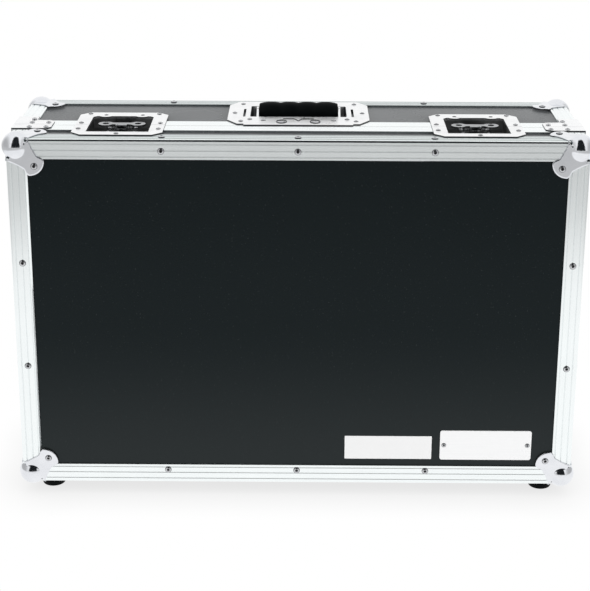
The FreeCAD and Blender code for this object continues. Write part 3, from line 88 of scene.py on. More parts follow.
scene = bpy.context.scene
camera_data = bpy.data.cameras.new("camera")
camera_data.sensor_width = SENSOR_WIDTH
camera_data.lens = LENS_LENGTH
camera_data.shift_y = LENS_SHIFT
camera_data.clip_start, camera_data.clip_end = CLIP_NEAR, CLIP_FAR
camera = bpy.data.objects.new("camera", camera_data)
turn = Matrix((right, up, -ahead)).transposed()
camera.matrix_world = Matrix.Translation(CAMERA_PLACE) @ turn.to_4x4()
scene.collection.objects.link(camera)
bpy.context.scene.camera = camera
print("camera", [round(v, 3) for v in camera.location], "lens", round(camera_data.lens, 2), "mm")

# %% [markdown]
# Node trees, for materials and for geometry alike, are built with one small helper. It adds a node, sets
# its options, and fills each input with either a plain value or the output of another node. The others
# are short names for the nodes that this lesson uses most.


# %% Helpers for node trees
def add(tree, kind, inputs=None, **options):
    made = tree.nodes.new(kind)
    for name, value in options.items():
        setattr(made, name, value)
    for key, value in (inputs or {}).items():
        socket = made.inputs[key]
        if isinstance(value, bpy.types.NodeSocket):
            tree.links.new(value, socket)
        else:
            socket.default_value = value
    return made


def calc(tree, operation, *values):
    """One Math node; each value is a number or a socket."""
    return add(tree, "ShaderNodeMath", dict(enumerate(values)), operation=operation).outputs[0]


def product(tree, first, *others):
    for other in others:
        first = calc(tree, "MULTIPLY", first, other)
    return first


def axes_of(tree, vector):
    return add(tree, "ShaderNodeSeparateXYZ", {0: vector}).outputs


def choose(tree, switch, off, on):
    return add(tree, "ShaderNodeMix", {0: switch, 2: off, 3: on}, data_type="FLOAT").outputs[0]


def eased(tree, value, start, stop, low, high):
    """Goes softly from low to high while the value goes from start to stop."""
    values = {"Value": value, "From Min": start, "From Max": stop, "To Min": low, "To Max": high}
    return add(tree, "ShaderNodeMapRange", values, interpolation_type="SMOOTHSTEP").outputs[0]


print("tree helpers ready")

# %% [markdown]
# The photograph is a product shot on pure white. The world is white where the camera, a reflection or a
# view through glass meets it, and a little weaker as a lamp, so that the soft boxes can still give form.
# A studio's side walls are darker than its back, and a ball shows them as a grey rim. So reflections lose
# light towards the left and right, while the camera still sees plain white there.

# %% World
DOME_LEVEL = 0.62
SIDE_LEVEL = 0.5
SIDE_START, SIDE_STOP = 0.5, 0.95
WHITE = (1, 1, 1, 1)

scene.view_settings.view_transform = "Standard"
world = bpy.data.worlds.new("white_studio")
world.use_nodes = True
scene.world = world
sky = world.node_tree
sky.nodes.clear()
rays = add(sky, "ShaderNodeLightPath").outputs
seen = calc(sky, "MAXIMUM", rays["Is Camera Ray"], rays["Is Glossy Ray"])
seen = calc(sky, "MAXIMUM", seen, rays["Is Transmission Ray"])
toward = add(sky, "ShaderNodeTexCoord").outputs["Generated"]
sideways = calc(sky, "ABSOLUTE", axes_of(sky, toward)["X"])
sides = eased(sky, sideways, SIDE_START, SIDE_STOP, 1.0, SIDE_LEVEL)
level = choose(sky, rays["Is Glossy Ray"], 1.0, sides)
strength = calc(sky, "ADD", calc(sky, "MULTIPLY", seen, 1 - DOME_LEVEL), DOME_LEVEL)
strength = calc(sky, "MULTIPLY", strength, level)
white = add(sky, "ShaderNodeBackground", {"Color": WHITE, "Strength": strength})
add(sky, "ShaderNodeOutputWorld", {"Surface": white.outputs[0]})
print("world level", DOME_LEVEL, "and", SIDE_LEVEL, "in reflections of the sides")

# %% [markdown]
# The floor is clear to the camera except where the case shades it, because the opened lid of a standing
# case hangs below floor level and would be hidden. Ambient Occlusion measures how much open sky a spot of
# floor sees, and that gives the soft shadow. In reflections the floor is pale and fades with distance,
# which is what makes the front's metal darker towards the top.


# %% Helpers for the stage
def new_material(name):
    made = bpy.data.materials.new(name)
    made.use_nodes = True
    made.node_tree.nodes.clear()
    return made, made.node_tree


def flat_stage(name, corners, material, faces=((0, 1, 2, 3),)):
    mesh = bpy.data.meshes.new(name)
    mesh.from_pydata(corners, [], list(faces))
    mesh.materials.append(material)
    made = bpy.data.objects.new(name, mesh)
    scene.collection.objects.link(made)
    return made


print("stage helpers ready")

# %% [markdown]
# The floor's material asks what kind of ray meets it. A camera ray goes through a clear shader that the
# shade darkens, a reflection meets the pale glow, and a ray of light passes as if no floor were there.

# %% Floor
SHADOW_DEPTH = 0.24
SHADOW_REACH = 0.07
SHADOW_SAMPLES = 12
FLOOR_NEAR, FLOOR_FAR = 1.0, 0.58
FADE_START, FADE_STOP = 1.0, 1.62
FLOOR_HALF = 4.0

pale, tree = new_material("pale_floor")
rays = add(tree, "ShaderNodeLightPath").outputs
spot = add(tree, "ShaderNodeTexCoord").outputs["Object"]
reach = add(tree, "ShaderNodeVectorMath", {0: spot}, operation="LENGTH").outputs["Value"]
fade = eased(tree, reach, FADE_START, FADE_STOP, FLOOR_NEAR, FLOOR_FAR)
glow = add(tree, "ShaderNodeEmission", {"Color": WHITE, "Strength": fade}).outputs[0]
occlusion = add(tree, "ShaderNodeAmbientOcclusion", {"Distance": SHADOW_REACH}, samples=SHADOW_SAMPLES)
open_sky = calc(tree, "MULTIPLY", occlusion.outputs["AO"], SHADOW_DEPTH)
shade = calc(tree, "ADD", open_sky, 1 - SHADOW_DEPTH)
tint = add(tree, "ShaderNodeCombineColor", {"Red": shade, "Green": shade, "Blue": shade}).outputs[0]
shaded = add(tree, "ShaderNodeBsdfTransparent", {"Color": tint}).outputs[0]
clear = add(tree, "ShaderNodeBsdfTransparent", {"Color": WHITE}).outputs[0]
seen = add(tree, "ShaderNodeMixShader", {0: rays["Is Camera Ray"], 1: clear, 2: shaded}).outputs[0]
whole = add(tree, "ShaderNodeMixShader", {0: rays["Is Glossy Ray"], 1: seen, 2: glow}).outputs[0]
add(tree, "ShaderNodeOutputMaterial", {"Surface": whole})
flat_stage("floor", [
    (-FLOOR_HALF, -FLOOR_HALF, 0), (FLOOR_HALF, -FLOOR_HALF, 0),
    (FLOOR_HALF, FLOOR_HALF, 0), (-FLOOR_HALF, FLOOR_HALF, 0),
], pale)
print("floor fades from", FLOOR_NEAR, "to", FLOOR_FAR)

# %% [markdown]
# Behind the camera a studio is dark, and polished balls show that as a small black arch. A panel stands
# there and leans over towards the case, narrower the higher it gets. Only reflections can see it, so it
# takes no light from the scene and stays out of every picture.

# %% Dark arched panel behind the camera
ARCH = (
    # height, place along Y and half width, in metres
    (0.25, -3.4, 2.3), (1.6, -3.4, 2.3), (2.7, -2.9, 1.9),
    (3.3, -2.0, 1.5), (3.6, -0.9, 1.0), (3.6, -0.1, 0.5),
)
ROOM_DARK = (0.010, 0.012, 0.014, 1)

dusk, tree = new_material("dark_studio_end")
dim = add(tree, "ShaderNodeEmission", {"Color": ROOM_DARK, "Strength": 1.0})
add(tree, "ShaderNodeOutputMaterial", {"Surface": dim.outputs[0]})
left_side = [(-half, y, z) for z, y, half in ARCH]
right_side = [(half, y, z) for z, y, half in reversed(ARCH)]
last = 2 * len(ARCH) - 1
strips = [(n, last - n, last - n - 1, n + 1) for n in range(len(ARCH) - 1)]
wall = flat_stage("dark_studio_end", left_side + right_side, dusk, strips)
wall.visible_camera = wall.visible_diffuse = wall.visible_shadow = wall.visible_transmission = False
print("arched panel of", len(strips), "strips")

# %% [markdown]
# Three soft boxes light the case: one high on the left, a weaker one on the right, and one above that
# lifts the top face. They light surfaces but aren't seen in them, because the white world is what the
# metal should mirror.

# %% Soft boxes
SOFT_BOXES = {
    # place, target, size in metres, and watts
    "key": ((-1.6, -2.2, 2.3), (0, 0, 0.2), (1.6, 1.6), 42),
    "fill": ((2.0, -1.9, 1.2), (0, 0, 0.25), (1.4, 1.4), 24),
    "top": ((0, 0.3, 2.6), (0, 0, 0.4), (2.0, 1.4), 16),
}


def soft_box(name, place, target, size, watts):
    lamp = bpy.data.lights.new(name, "AREA")
    lamp.shape = "RECTANGLE"
    lamp.size, lamp.size_y = size
    lamp.energy = watts
    made = bpy.data.objects.new(name, lamp)
    made.location = place
    made.rotation_euler = (Vector(target) - Vector(place)).to_track_quat("-Z", "Y").to_euler()
    made.visible_camera = False
    made.visible_glossy = False
    scene.collection.objects.link(made)


for name, settings in SOFT_BOXES.items():
    soft_box(name, *settings)
print(len(SOFT_BOXES), "soft boxes")

# %% [markdown]
# Materials come next. Each one starts from Object coordinates, which are metres here, so a pattern has its
# real size: the laminate's grain is about a millimetre. A bump shorter than the eye can see still changes
# how a surface catches the light, and that is what makes it look like plastic, foil or steel.


# %% Helpers for finishes
def coords(tree, stretch=(1, 1, 1)):
    """Object coordinates, squeezed along the axes where a pattern should look long."""
    spot = add(tree, "ShaderNodeTexCoord").outputs["Object"]
    return add(tree, "ShaderNodeMapping", {"Vector": spot, "Scale": stretch}).outputs[0]


def noise(tree, place, scale, detail=3.0, roughness=0.5):
    values = {"Vector": place, "Scale": scale, "Detail": detail, "Roughness": roughness}
    return add(tree, "ShaderNodeTexNoise", values).outputs["Fac"]


def cells(tree, place, scale, **options):
    values = {"Vector": place, "Scale": scale}
    return add(tree, "ShaderNodeTexVoronoi", values, **options)


def spread(tree, value, low, high, start=0.3, stop=0.7):
    """Goes from low to high while the value goes from start to stop."""
    values = {"Value": value, "From Min": start, "From Max": stop, "To Min": low, "To Max": high}
    return add(tree, "ShaderNodeMapRange", values).outputs[0]


def blend_colours(tree, amount, first, second):
    values = {0: amount, 6: first, 7: second}
    return add(tree, "ShaderNodeMix", values, data_type="RGBA").outputs[2]


def bumped(tree, height, distance, strength=1.0):
    values = {"Height": height, "Distance": distance, "Strength": strength}
    return add(tree, "ShaderNodeBump", values).outputs[0]


def finish_with(tree, **sockets):
    """The Principled shader, its sockets named with underscores, and the output."""
    values = {name.replace("_", " "): value for name, value in sockets.items()}
    shader = add(tree, "ShaderNodeBsdfPrincipled", values)
    add(tree, "ShaderNodeOutputMaterial", {"Surface": shader.outputs[0]})


print("finish helpers ready")

# %% [markdown]
# The skin of the panels is phenolic laminate: black, with a fine pebble pressed into it. It is a poor
# mirror seen straight on and a good one at a glancing angle, so the top looks grey under a white studio
# while the front stays nearly black. Sheen lights up the dust that lies on every such case. There are
# specks and scuffs all over. Towards the bottom the skin is painted paler: painted light, standing in for
# the floor's reflection.

# %% Laminate
SKIN_DARK, SKIN_PALE = (0.0008, 0.0024, 0.0028, 1), (0.0018, 0.0040, 0.0046, 1)
SPECK_TONE, SCUFF_TONE = (0.045, 0.050, 0.050, 1), (0.030, 0.036, 0.037, 1)
FLOOR_LIGHT_TONE = (0.042, 0.046, 0.046, 1)
FLOOR_LIGHT_LOW, FLOOR_LIGHT_HIGH, FLOOR_LIGHT_AMOUNT = 30 * MM, 240 * MM, 0.34
PEBBLES_PER_METRE, CLOUDS_PER_METRE, SPECKS_PER_METRE = 620.0, 9.0, 420.0
SPECK_AMOUNT, SCUFF_AMOUNT, SCUFF_STRETCH = 0.30, 0.08, (7, 7, 70)

laminate, tree = new_material("black_laminate")
place = coords(tree)
pebble = cells(tree, place, PEBBLES_PER_METRE, feature="SMOOTH_F1")
pebble.inputs["Randomness"].default_value = 0.9
cloud = noise(tree, place, CLOUDS_PER_METRE, 4.0)
specks = spread(tree, noise(tree, place, SPECKS_PER_METRE, 2.0), 0.0, 1.0, 0.66, 0.74)
scuffs = noise(tree, coords(tree, SCUFF_STRETCH), 3.0, 5.0, 0.6)
scuffs = spread(tree, scuffs, 0.0, 0.35, 0.62, 0.75)
# Painted light: the skin is painted paler towards the bottom, standing in for the floor's reflection.
painted_floor_light = eased(tree, axes_of(tree, place)["Z"], FLOOR_LIGHT_LOW, FLOOR_LIGHT_HIGH, FLOOR_LIGHT_AMOUNT, 0.0)
tone = blend_colours(tree, cloud, SKIN_DARK, SKIN_PALE)
tone = blend_colours(tree, calc(tree, "MULTIPLY", specks, SPECK_AMOUNT), tone, SPECK_TONE)
tone = blend_colours(tree, calc(tree, "MULTIPLY", scuffs, SCUFF_AMOUNT), tone, SCUFF_TONE)
tone = blend_colours(tree, painted_floor_light, tone, FLOOR_LIGHT_TONE)
finish_with(
    tree,
    Base_Color=tone,
    Roughness=spread(tree, cloud, 0.22, 0.31),
    Specular_IOR_Level=0.19,
    Specular_Tint=(0.80, 0.95, 1.0, 1),
    Sheen_Weight=0.50,
    Sheen_Roughness=0.3,
    Sheen_Tint=(0.93, 0.96, 1.0, 1),
    Normal=bumped(tree, pebble.outputs["Distance"], 0.00016, 0.5),
)
print("laminate with a pebble of", round(1 / PEBBLES_PER_METRE / MM, 1), "mm")

# %% [markdown]
# Several finishes depend on how deep a spot lies in the case: lines rolled half a millimetre below the
# outside are painted darker as painted shade in their grooves, and a dish is painted darker further down
# as painted shade. The outermost faces of the edge angles give the envelope, and three small sums give
# the depth below it along each axis. Outside it a depth is negative.

# %% Depth below the outside
lid_low, lid_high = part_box("lid_front_edge_angles")
base_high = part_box("base_back_edge_angles")[1]
ENVELOPE_HIGH = Vector((lid_high.x, base_high.y, lid_high.z))
ENVELOPE_MIDDLE = (lid_low + ENVELOPE_HIGH) / 2
ENVELOPE_HALF = (ENVELOPE_HIGH - lid_low) / 2


def depths(tree):
    """How far a spot lies inside the case's envelope, along each axis."""
    axes = axes_of(tree, add(tree, "ShaderNodeTexCoord").outputs["Object"])
    made = []
    for axis in range(3):
        from_middle = calc(tree, "ABSOLUTE", calc(tree, "SUBTRACT", axes[axis], ENVELOPE_MIDDLE[axis]))
        made.append(calc(tree, "SUBTRACT", ENVELOPE_HALF[axis], from_middle))
    return made


def two_least_depths(tree):
    """The least of the three depths, which is the one below the nearest face, and the next one."""
    x, y, z = depths(tree)
    least = calc(tree, "MINIMUM", calc(tree, "MINIMUM", x, y), z)
    most = calc(tree, "MAXIMUM", calc(tree, "MAXIMUM", x, y), z)
    total = calc(tree, "ADD", calc(tree, "ADD", x, y), z)
    return least, calc(tree, "SUBTRACT", calc(tree, "SUBTRACT", total, least), most)


print("envelope", [round(2 * v / MM) for v in ENVELOPE_HALF], "mm")

# %% [markdown]
# Aluminium angles are drawn through a die, which leaves fine streaks along the bar. A streak is a noise
# stretched along one axis, and the bars run three ways, so one material picks the axis from where it is:
# near the left and right ends of a ring the bars stand upright. On the top and bottom flats of the edge
# angles, away from the front, the metal is painted darker: painted shade on these flats.

# %% Aluminium
METAL_GREY, METAL_WHITE = (0.92, 0.96, 0.965, 1), (0.955, 0.995, 0.995, 1)
FLAT_SHADE_TONE, GROOVE_SHADE_TONE, STAIN_TONE = (0.635, 0.69, 0.69, 1), (0.30, 0.31, 0.32, 1), (0.62, 0.63, 0.64, 1)
LINE_LEAST, LINE_MOST, LINE_FROM_CORNER = 0.08 * MM, 0.9 * MM, 4.2 * MM
FLAT_DEEPEST, FLAT_FROM_FRONT = 2.2 * MM, 2.0 * MM
STREAKS_LYING, STREAKS_STANDING, STREAKS_DEEP = (3, 420, 420), (420, 420, 3), (420, 3, 420)
STAINS_PER_METRE, STAIN_AMOUNT = 26.0, 0.06


def rolled_lines(tree):
    """1 in the lines rolled into the bars, 0 elsewhere."""
    least, following = two_least_depths(tree)
    below = calc(tree, "GREATER_THAN", least, LINE_LEAST)
    shallow = calc(tree, "LESS_THAN", least, LINE_MOST)
    return product(tree, below, shallow, calc(tree, "GREATER_THAN", following, LINE_FROM_CORNER))


def streaks(tree, stretch):
    return noise(tree, coords(tree, stretch), 1.0, 4.0, 0.6)


def aluminium_finish(name, ring=True, groove_shade_share=0.09, shaded_flats=False):
    """The bars of a ring lie or stand; the others run along the depth of the case."""
    made, tree = new_material(name)
    x, y, z = depths(tree)
    if ring:
        upright = calc(tree, "LESS_THAN", x, z)
        streak = choose(tree, upright, streaks(tree, STREAKS_LYING), streaks(tree, STREAKS_STANDING))
    else:
        streak = streaks(tree, STREAKS_DEEP)
    tone = blend_colours(tree, spread(tree, streak, 0.0, 1.0), METAL_GREY, METAL_WHITE)
    # Painted shade: the top and bottom flats, away from the front, are painted darker.
    if shaded_flats:
        outermost = calc(tree, "LESS_THAN", z, FLAT_DEEPEST)
        inboard = calc(tree, "GREATER_THAN", y, FLAT_FROM_FRONT)
        tone = blend_colours(tree, calc(tree, "MULTIPLY", outermost, inboard), tone, FLAT_SHADE_TONE)
    # Painted shade: the lines rolled into the bars are painted darker, as their grooves would be shaded.
    tone = blend_colours(tree, calc(tree, "MULTIPLY", rolled_lines(tree), groove_shade_share), tone, GROOVE_SHADE_TONE)
    stains = spread(tree, noise(tree, coords(tree), STAINS_PER_METRE, 4.0), 0.0, STAIN_AMOUNT)
    finish_with(
        tree,
        Base_Color=blend_colours(tree, stains, tone, STAIN_TONE),
        Metallic=1.0,
        Roughness=spread(tree, streak, 0.17, 0.205),
        Normal=bumped(tree, streak, 0.00002, 0.14),
    )
    return made


ring_aluminium = aluminium_finish("drawn_aluminium_ring", shaded_flats=True)
seam_aluminium = aluminium_finish("drawn_aluminium_seam")
deep_aluminium = aluminium_finish("drawn_aluminium_deep", ring=False, groove_shade_share=0.03)
print("three aluminium finishes")

# %% [markdown]
# Corners, dishes, braces and hinges are pressed steel with a bright plating. Plating is nearly a mirror,
# softened by hairline scratches and by a faint waviness that pressing leaves in the sheet. One recipe
# serves all of them, with the tone, the polish, the wave and the rubbing as arguments. In a dish the
# plating keeps only a share of its tone further down: painted shade, where little of the white studio
# reaches. A paddle of a ball corner gets a dark edge: painted shade along its outline.

# %% Plated steel
PAN_START, PAN_DEEP = 0.3 * MM, 3.5 * MM
PADDLE_EDGE_SHADE_TOP, BALL_REACH = 0.80 * MM, 22 * MM
PADDLE_EDGE_SHADE_TONE = (0.10, 0.105, 0.115, 1)
RUBBED_SHARES = (0.72, 0.73, 0.76)
HAIRLINES, HAIR_HEIGHT = (900, 60, 260), 0.02
RUBS_PER_METRE, DENTS_PER_METRE = 60.0, 85.0
WAVE_UNIT = 0.1 * MM


def plated_finish(name, tone, polish, wave, rub, sunk=1.0, edge_shaded=False):
    """sunk is the share of the tone left deep inside a pan, as painted shade; the last switch darkens a
    paddle's edge with painted shade.
    """
    made, tree = new_material(name)
    place = coords(tree)
    cloud = noise(tree, place, RUBS_PER_METRE, 4.0)
    hair = noise(tree, coords(tree, HAIRLINES), 1.0, 3.0, 0.7)
    rubbed = tuple(share * value for share, value in zip(RUBBED_SHARES, tone)) + (1,)
    colour = blend_colours(tree, spread(tree, cloud, 0.0, rub), (*tone, 1), rubbed)
    # Painted shade: deeper in a pan the colour keeps only the share sunk of its tone.
    if sunk < 1:
        below = spread(tree, depths(tree)[2], 0.0, 1.0, PAN_START, PAN_DEEP)
        colour = blend_colours(tree, below, colour, tuple(sunk * value for value in tone) + (1,))
    # Painted shade: the edge of a ball corner's paddle, near the outside and off the ball, is painted dark.
    if edge_shaded:
        least, following = two_least_depths(tree)
        low = calc(tree, "GREATER_THAN", least, -PADDLE_EDGE_SHADE_TOP)
        off_ball = calc(tree, "GREATER_THAN", following, BALL_REACH)
        colour = blend_colours(tree, calc(tree, "MULTIPLY", low, off_ball), colour, PADDLE_EDGE_SHADE_TONE)
    waves = calc(tree, "MULTIPLY", noise(tree, place, DENTS_PER_METRE, 2.0), wave / WAVE_UNIT)
    height = calc(tree, "ADD", waves, calc(tree, "MULTIPLY", hair, HAIR_HEIGHT))
    polished = spread(tree, cloud, polish, polish + 0.10)
    finish_with(
        tree,
        Base_Color=colour,
        Metallic=1.0,
        Roughness=calc(tree, "ADD", polished, spread(tree, hair, 0.0, 0.05)),
        Normal=bumped(tree, height, WAVE_UNIT, 0.4),
    )
    return made


ball_steel = plated_finish("ball_corner_plating", (0.84, 0.855, 0.885), 0.05, 0.00003, 0.30, edge_shaded=True)
plate_steel = plated_finish("pressed_plate_plating", (0.95, 0.955, 0.96), 0.10, 0.00003, 0.20)
dish_steel = plated_finish("dish_plating", (0.95, 0.955, 0.96), 0.24, 0.00003, 0.15, 0.34)
# Painted shade: the latch parts sit down in their pan, so their plating is painted darker than the plates'.
shaded_latch_steel = plated_finish("latch_plating_shaded", (0.46, 0.47, 0.485), 0.10, 0.00004, 0.5, 0.55)
rivet_steel = plated_finish("rivet_plating", (0.60, 0.605, 0.62), 0.14, 0.00003, 0.4)
# Painted shade: a dark finish for the narrow edges of sheets, the pressed beads and the rims of rivet heads.
edge_shade_steel = plated_finish("painted_edge_shade", (0.10, 0.105, 0.11), 0.34, 0.00003, 0.5)
spring_steel = plated_finish("spring_wire_finish", (0.22, 0.22, 0.23), 0.30, 0.00004, 0.4)
print("seven plated finishes")

# %% [markdown]
# A blind rivet has a bore in its middle, and no light comes back out of it. The bore gets a nearly
# black, matt finish: painted shade for the hole.

# %% Dark bore
dark_hole, tree = new_material("rivet_bore_dark")
speck = spread(tree, noise(tree, coords(tree), 900.0), 0.006, 0.02)
bore_tone = add(tree, "ShaderNodeCombineColor", {"Red": speck, "Green": speck, "Blue": speck}).outputs[0]
finish_with(tree, Base_Color=bore_tone, Roughness=0.7, Specular_IOR_Level=0.2)
print("dark bore")

# %% [markdown]
# The soft parts: rubber for the grip and the feet, foam for the lining. Rubber has a faint mould grain.
# Foam is a sponge of open cells, so its bump is two sizes of cell, and its colour is painted darker
# where the cells are deep: painted shade in their hollows.

# %% Rubber and foam
RUBBER_DARK, RUBBER_BLOOM = (0.0012, 0.0019, 0.0020, 1), (0.0034, 0.0044, 0.0046, 1)
CELL_SHADE_TONE, CELL_WALL = (0.016, 0.016, 0.018, 1), (0.058, 0.058, 0.062, 1)
SMALL_CELLS_PER_METRE, BIG_CELLS_PER_METRE, BIG_CELL_SHARE = 760.0, 330.0, 0.7

rubber, tree = new_material("moulded_rubber")
place = coords(tree)
grain = noise(tree, place, 1400.0, 2.0)
bloom = noise(tree, place, 40.0, 4.0)
finish_with(
    tree,
    Base_Color=blend_colours(tree, bloom, RUBBER_DARK, RUBBER_BLOOM),
    Roughness=spread(tree, bloom, 0.40, 0.52),
    Specular_IOR_Level=0.06,
    Normal=bumped(tree, grain, 0.00006, 0.5),
)

foam, tree = new_material("open_cell_foam")
place = coords(tree)
small_cells = cells(tree, place, SMALL_CELLS_PER_METRE).outputs["Distance"]
big_cells = cells(tree, place, BIG_CELLS_PER_METRE).outputs["Distance"]
depth = calc(tree, "ADD", small_cells, calc(tree, "MULTIPLY", big_cells, BIG_CELL_SHARE))
# Painted shade: the colour darkens where the cells are deep.
finish_with(
    tree,
    Base_Color=blend_colours(tree, spread(tree, depth, 0.0, 1.0, 0.2, 1.0), CELL_SHADE_TONE, CELL_WALL),
    Roughness=0.95,
    Specular_IOR_Level=0.1,
    Sheen_Weight=0.15,
    Normal=bumped(tree, depth, 0.0005, 0.8),
)
print("rubber and foam")

# %% [markdown]
# Two plain plates sit on the front: a silver name plate and a paper label. Both stay blank. The plate is
# brushed along its length under a clear lacquer, the label is matt paper with a trace of its fibres.

# %% Name plate and label
SILVER_GREY, SILVER_WHITE = (0.94, 0.945, 0.95, 1), (0.985, 0.985, 0.99, 1)
PAPER_GREY, PAPER_WHITE, PAPER_AGED = (0.88, 0.885, 0.89, 1), (0.93, 0.93, 0.93, 1), (0.80, 0.80, 0.79, 1)

silver, tree = new_material("brushed_name_plate")
streak = noise(tree, coords(tree, (12, 700, 700)), 1.0, 3.0, 0.6)
finish_with(
    tree,
    Base_Color=blend_colours(tree, spread(tree, streak, 0.0, 1.0), SILVER_GREY, SILVER_WHITE),
    Metallic=0.55,
    Roughness=spread(tree, streak, 0.30, 0.42),
    Coat_Weight=0.2,
    Normal=bumped(tree, streak, 0.00002, 0.3),
)

paper, tree = new_material("label_paper")
fibre = noise(tree, coords(tree, (500, 500, 1500)), 1.0, 4.0, 0.6)
ageing = spread(tree, noise(tree, coords(tree), 30.0), 0.0, 0.15)
tone = blend_colours(tree, spread(tree, fibre, 0.0, 1.0), PAPER_GREY, PAPER_WHITE)
finish_with(
    tree,
    Base_Color=blend_colours(tree, ageing, tone, PAPER_AGED),
    Roughness=0.62,
    Specular_IOR_Level=0.3,
    Normal=bumped(tree, fibre, 0.00002, 0.3),
)
print("plate and label")

# %% [markdown]
# Pressed and sawn metal has no razor edges, and a hard edge gives itself away because it catches no
# light. A CAD node is loose triangles that must stay as they are, so a copy is merged and worked on. The
# copy then stands for the node and rides on the same body.

# %% Helpers for copies of CAD nodes
WELD_GAP = 0.002 * MM


def merged_copy(node, keep=None):
    """A copy of a node's mesh with its triangles joined; keep may pick vertices by their place."""
    shape = bmesh.new()
    shape.from_mesh(NODES[node].data)
    bmesh.ops.remove_doubles(shape, verts=shape.verts, dist=WELD_GAP)
    if keep is not None:
        extra = [v for v in shape.verts if not keep(v.co)]
        bmesh.ops.delete(shape, geom=extra, context="VERTS")
    return shape


def to_object(shape, name, *materials):
    """Turns a bmesh into an object at the origin."""
    mesh = bpy.data.meshes.new(name)
    shape.to_mesh(mesh)
    shape.free()
    made = bpy.data.objects.new(name, mesh)
    for material in materials:
        mesh.materials.append(material)
    scene.collection.objects.link(made)
    return made


def baked(made):
    """Applies the modifiers of an object by taking its evaluated mesh."""
    evaluated = made.evaluated_get(bpy.context.evaluated_depsgraph_get())
    mesh = bpy.data.meshes.new_from_object(evaluated)
    made.modifiers.clear()
    made.data = mesh
    return made


print("copy helpers ready")

# %% [markdown]
# Every new piece goes through the same two last steps. Its faces are shaded smooth, but for the edges
# that are meant to be sharp.


# %% Shading and standing in
def smooth_shaded(made, angle):
    """Shades a mesh smooth, but keeps an edge sharp where its faces turn by more degrees than the angle."""
    mesh = made.data
    mesh.polygons.foreach_set("use_smooth", [True] * len(mesh.polygons))
    mesh.set_sharp_from_angle(angle=math.radians(angle))
    mesh.update()
    return made


def stand_in_for(made, node):
    """The piece rides where the node rides and replaces it."""
    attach(made, BODIES[node])
    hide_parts(node)
    return made


# %% [markdown]
# Limited Dissolve joins the flat triangles of a copy into faces, and a Bevel modifier takes the edge off.
# A sheet's cut edge gets a dark, matt finish all round: painted shade, which draws the outline of a plate
# as a shadow line would. A face that is only as wide as the sheet is thick must be such an edge, so it gets
# that finish. Twice the area over the perimeter is a good measure of the width of a long face.

# %% A softened copy
SHEET_EDGE = 1.4 * MM
FLAT_ANGLE, BEVEL_ANGLE = 1.0, 34
METAL_CREASE = 20


def bevelled(made, width, segments, angle):
    bevel = made.modifiers.new("edge", "BEVEL")
    bevel.width = width
    bevel.segments = segments
    bevel.limit_method = "ANGLE"
    bevel.angle_limit = math.radians(angle)
    return baked(made)


def softened(node, material, width, segments=2, rim=None, crease=METAL_CREASE):
    """A merged, bevelled copy; rim is the finish of faces that are only as wide as the sheet is thick."""
    shape = merged_copy(node)
    for face in shape.faces:
        face.material_index = 0
    bmesh.ops.dissolve_limit(
        shape, angle_limit=math.radians(FLAT_ANGLE), verts=shape.verts, edges=shape.edges, delimit={"NORMAL"}
    )
    # Painted shade: faces as narrow as the sheet is thick take the dark edge finish.
    if rim is not None:
        for face in shape.faces:
            wide = 2 * face.calc_area() / face.calc_perimeter()
            face.material_index = 1 if wide < SHEET_EDGE else 0
    made = to_object(shape, node + "_finished", *([material, rim] if rim else [material]))
    bevelled(made, width, segments, BEVEL_ANGLE)
    smooth_shaded(made, crease)
    return stand_in_for(made, node)


print("faces under", SHEET_EDGE / MM, "mm count as cut edges")

# %% [markdown]
# The angles and the seam extrusions first. Their outer corner is an arc already, so a small bevel on the
# other edges is enough to make them catch a line of light.

# %% Aluminium bars
BAR_EDGE = 0.15 * MM
BARS = {
    ring_aluminium: ("lid_front_edge_angles", "base_back_edge_angles"),
    seam_aluminium: ("lid_slot_extrusions", "base_tongue_extrusions"),
    deep_aluminium: ("lid_corner_angles", "base_corner_angles"),
}
for finish, bars in BARS.items():
    for node in bars:
        made = softened(node, finish, BAR_EDGE, segments=1)
        print(made.name, len(made.data.polygons), "faces")

# %% [markdown]
# Dishes, braces, hinges and the latch parts follow, each with the edge that its metal would have: barely
# broken on thin sheet, rounder on the thick latch parts and on the handle's wire.

# %% Pressed plates and latch parts
SHEET_BEVEL, BAIL_BEVEL, PLATE_BEVEL = 0.18 * MM, 0.6 * MM, 0.25 * MM
DISHES = ["handle_dish"]
SHEETS = ("lid_corner_braces", "base_corner_braces", "hinge_lid_leaves", "hinge_base_leaves", "hinge_pins")
LATCH_PARTS = {"latch_beds": 0.4 * MM, "keeper_bars": 0.4 * MM}
for side in ("left", "right"):
    DISHES += [side + "_latch_dish", side + "_keeper_dish"]
    LATCH_PARTS[side + "_latch_hook"] = 0.35 * MM
    LATCH_PARTS[side + "_latch_spindle"] = 0.25 * MM
    LATCH_PARTS[side + "_latch_wing"] = 0.5 * MM
for node in DISHES:
    softened(node, dish_steel, SHEET_BEVEL, rim=edge_shade_steel)
for node in SHEETS:
    softened(node, plate_steel, SHEET_BEVEL, rim=edge_shade_steel)
for node, width in LATCH_PARTS.items():
    softened(node, shaded_latch_steel, width)
softened("handle_bail", plate_steel, BAIL_BEVEL, segments=3)
softened("name_plate", silver, PLATE_BEVEL)
print(len(DISHES) + len(SHEETS) + len(LATCH_PARTS) + 2, "softened copies")

# %% [markdown]
# The strip in front of the grip is stiffened by what the press leaves in it: a line that dips to a point
# in the middle, and a ring on each side of it. Each is a bead less than a millimetre high, drawn along
# its path as a flat-topped ridge with sloping sides.

# %% Ridges along a path
RIDGE_SECTION = ((-1.0, 0), (-0.5, 1), (0.5, 1), (1.0, 0))


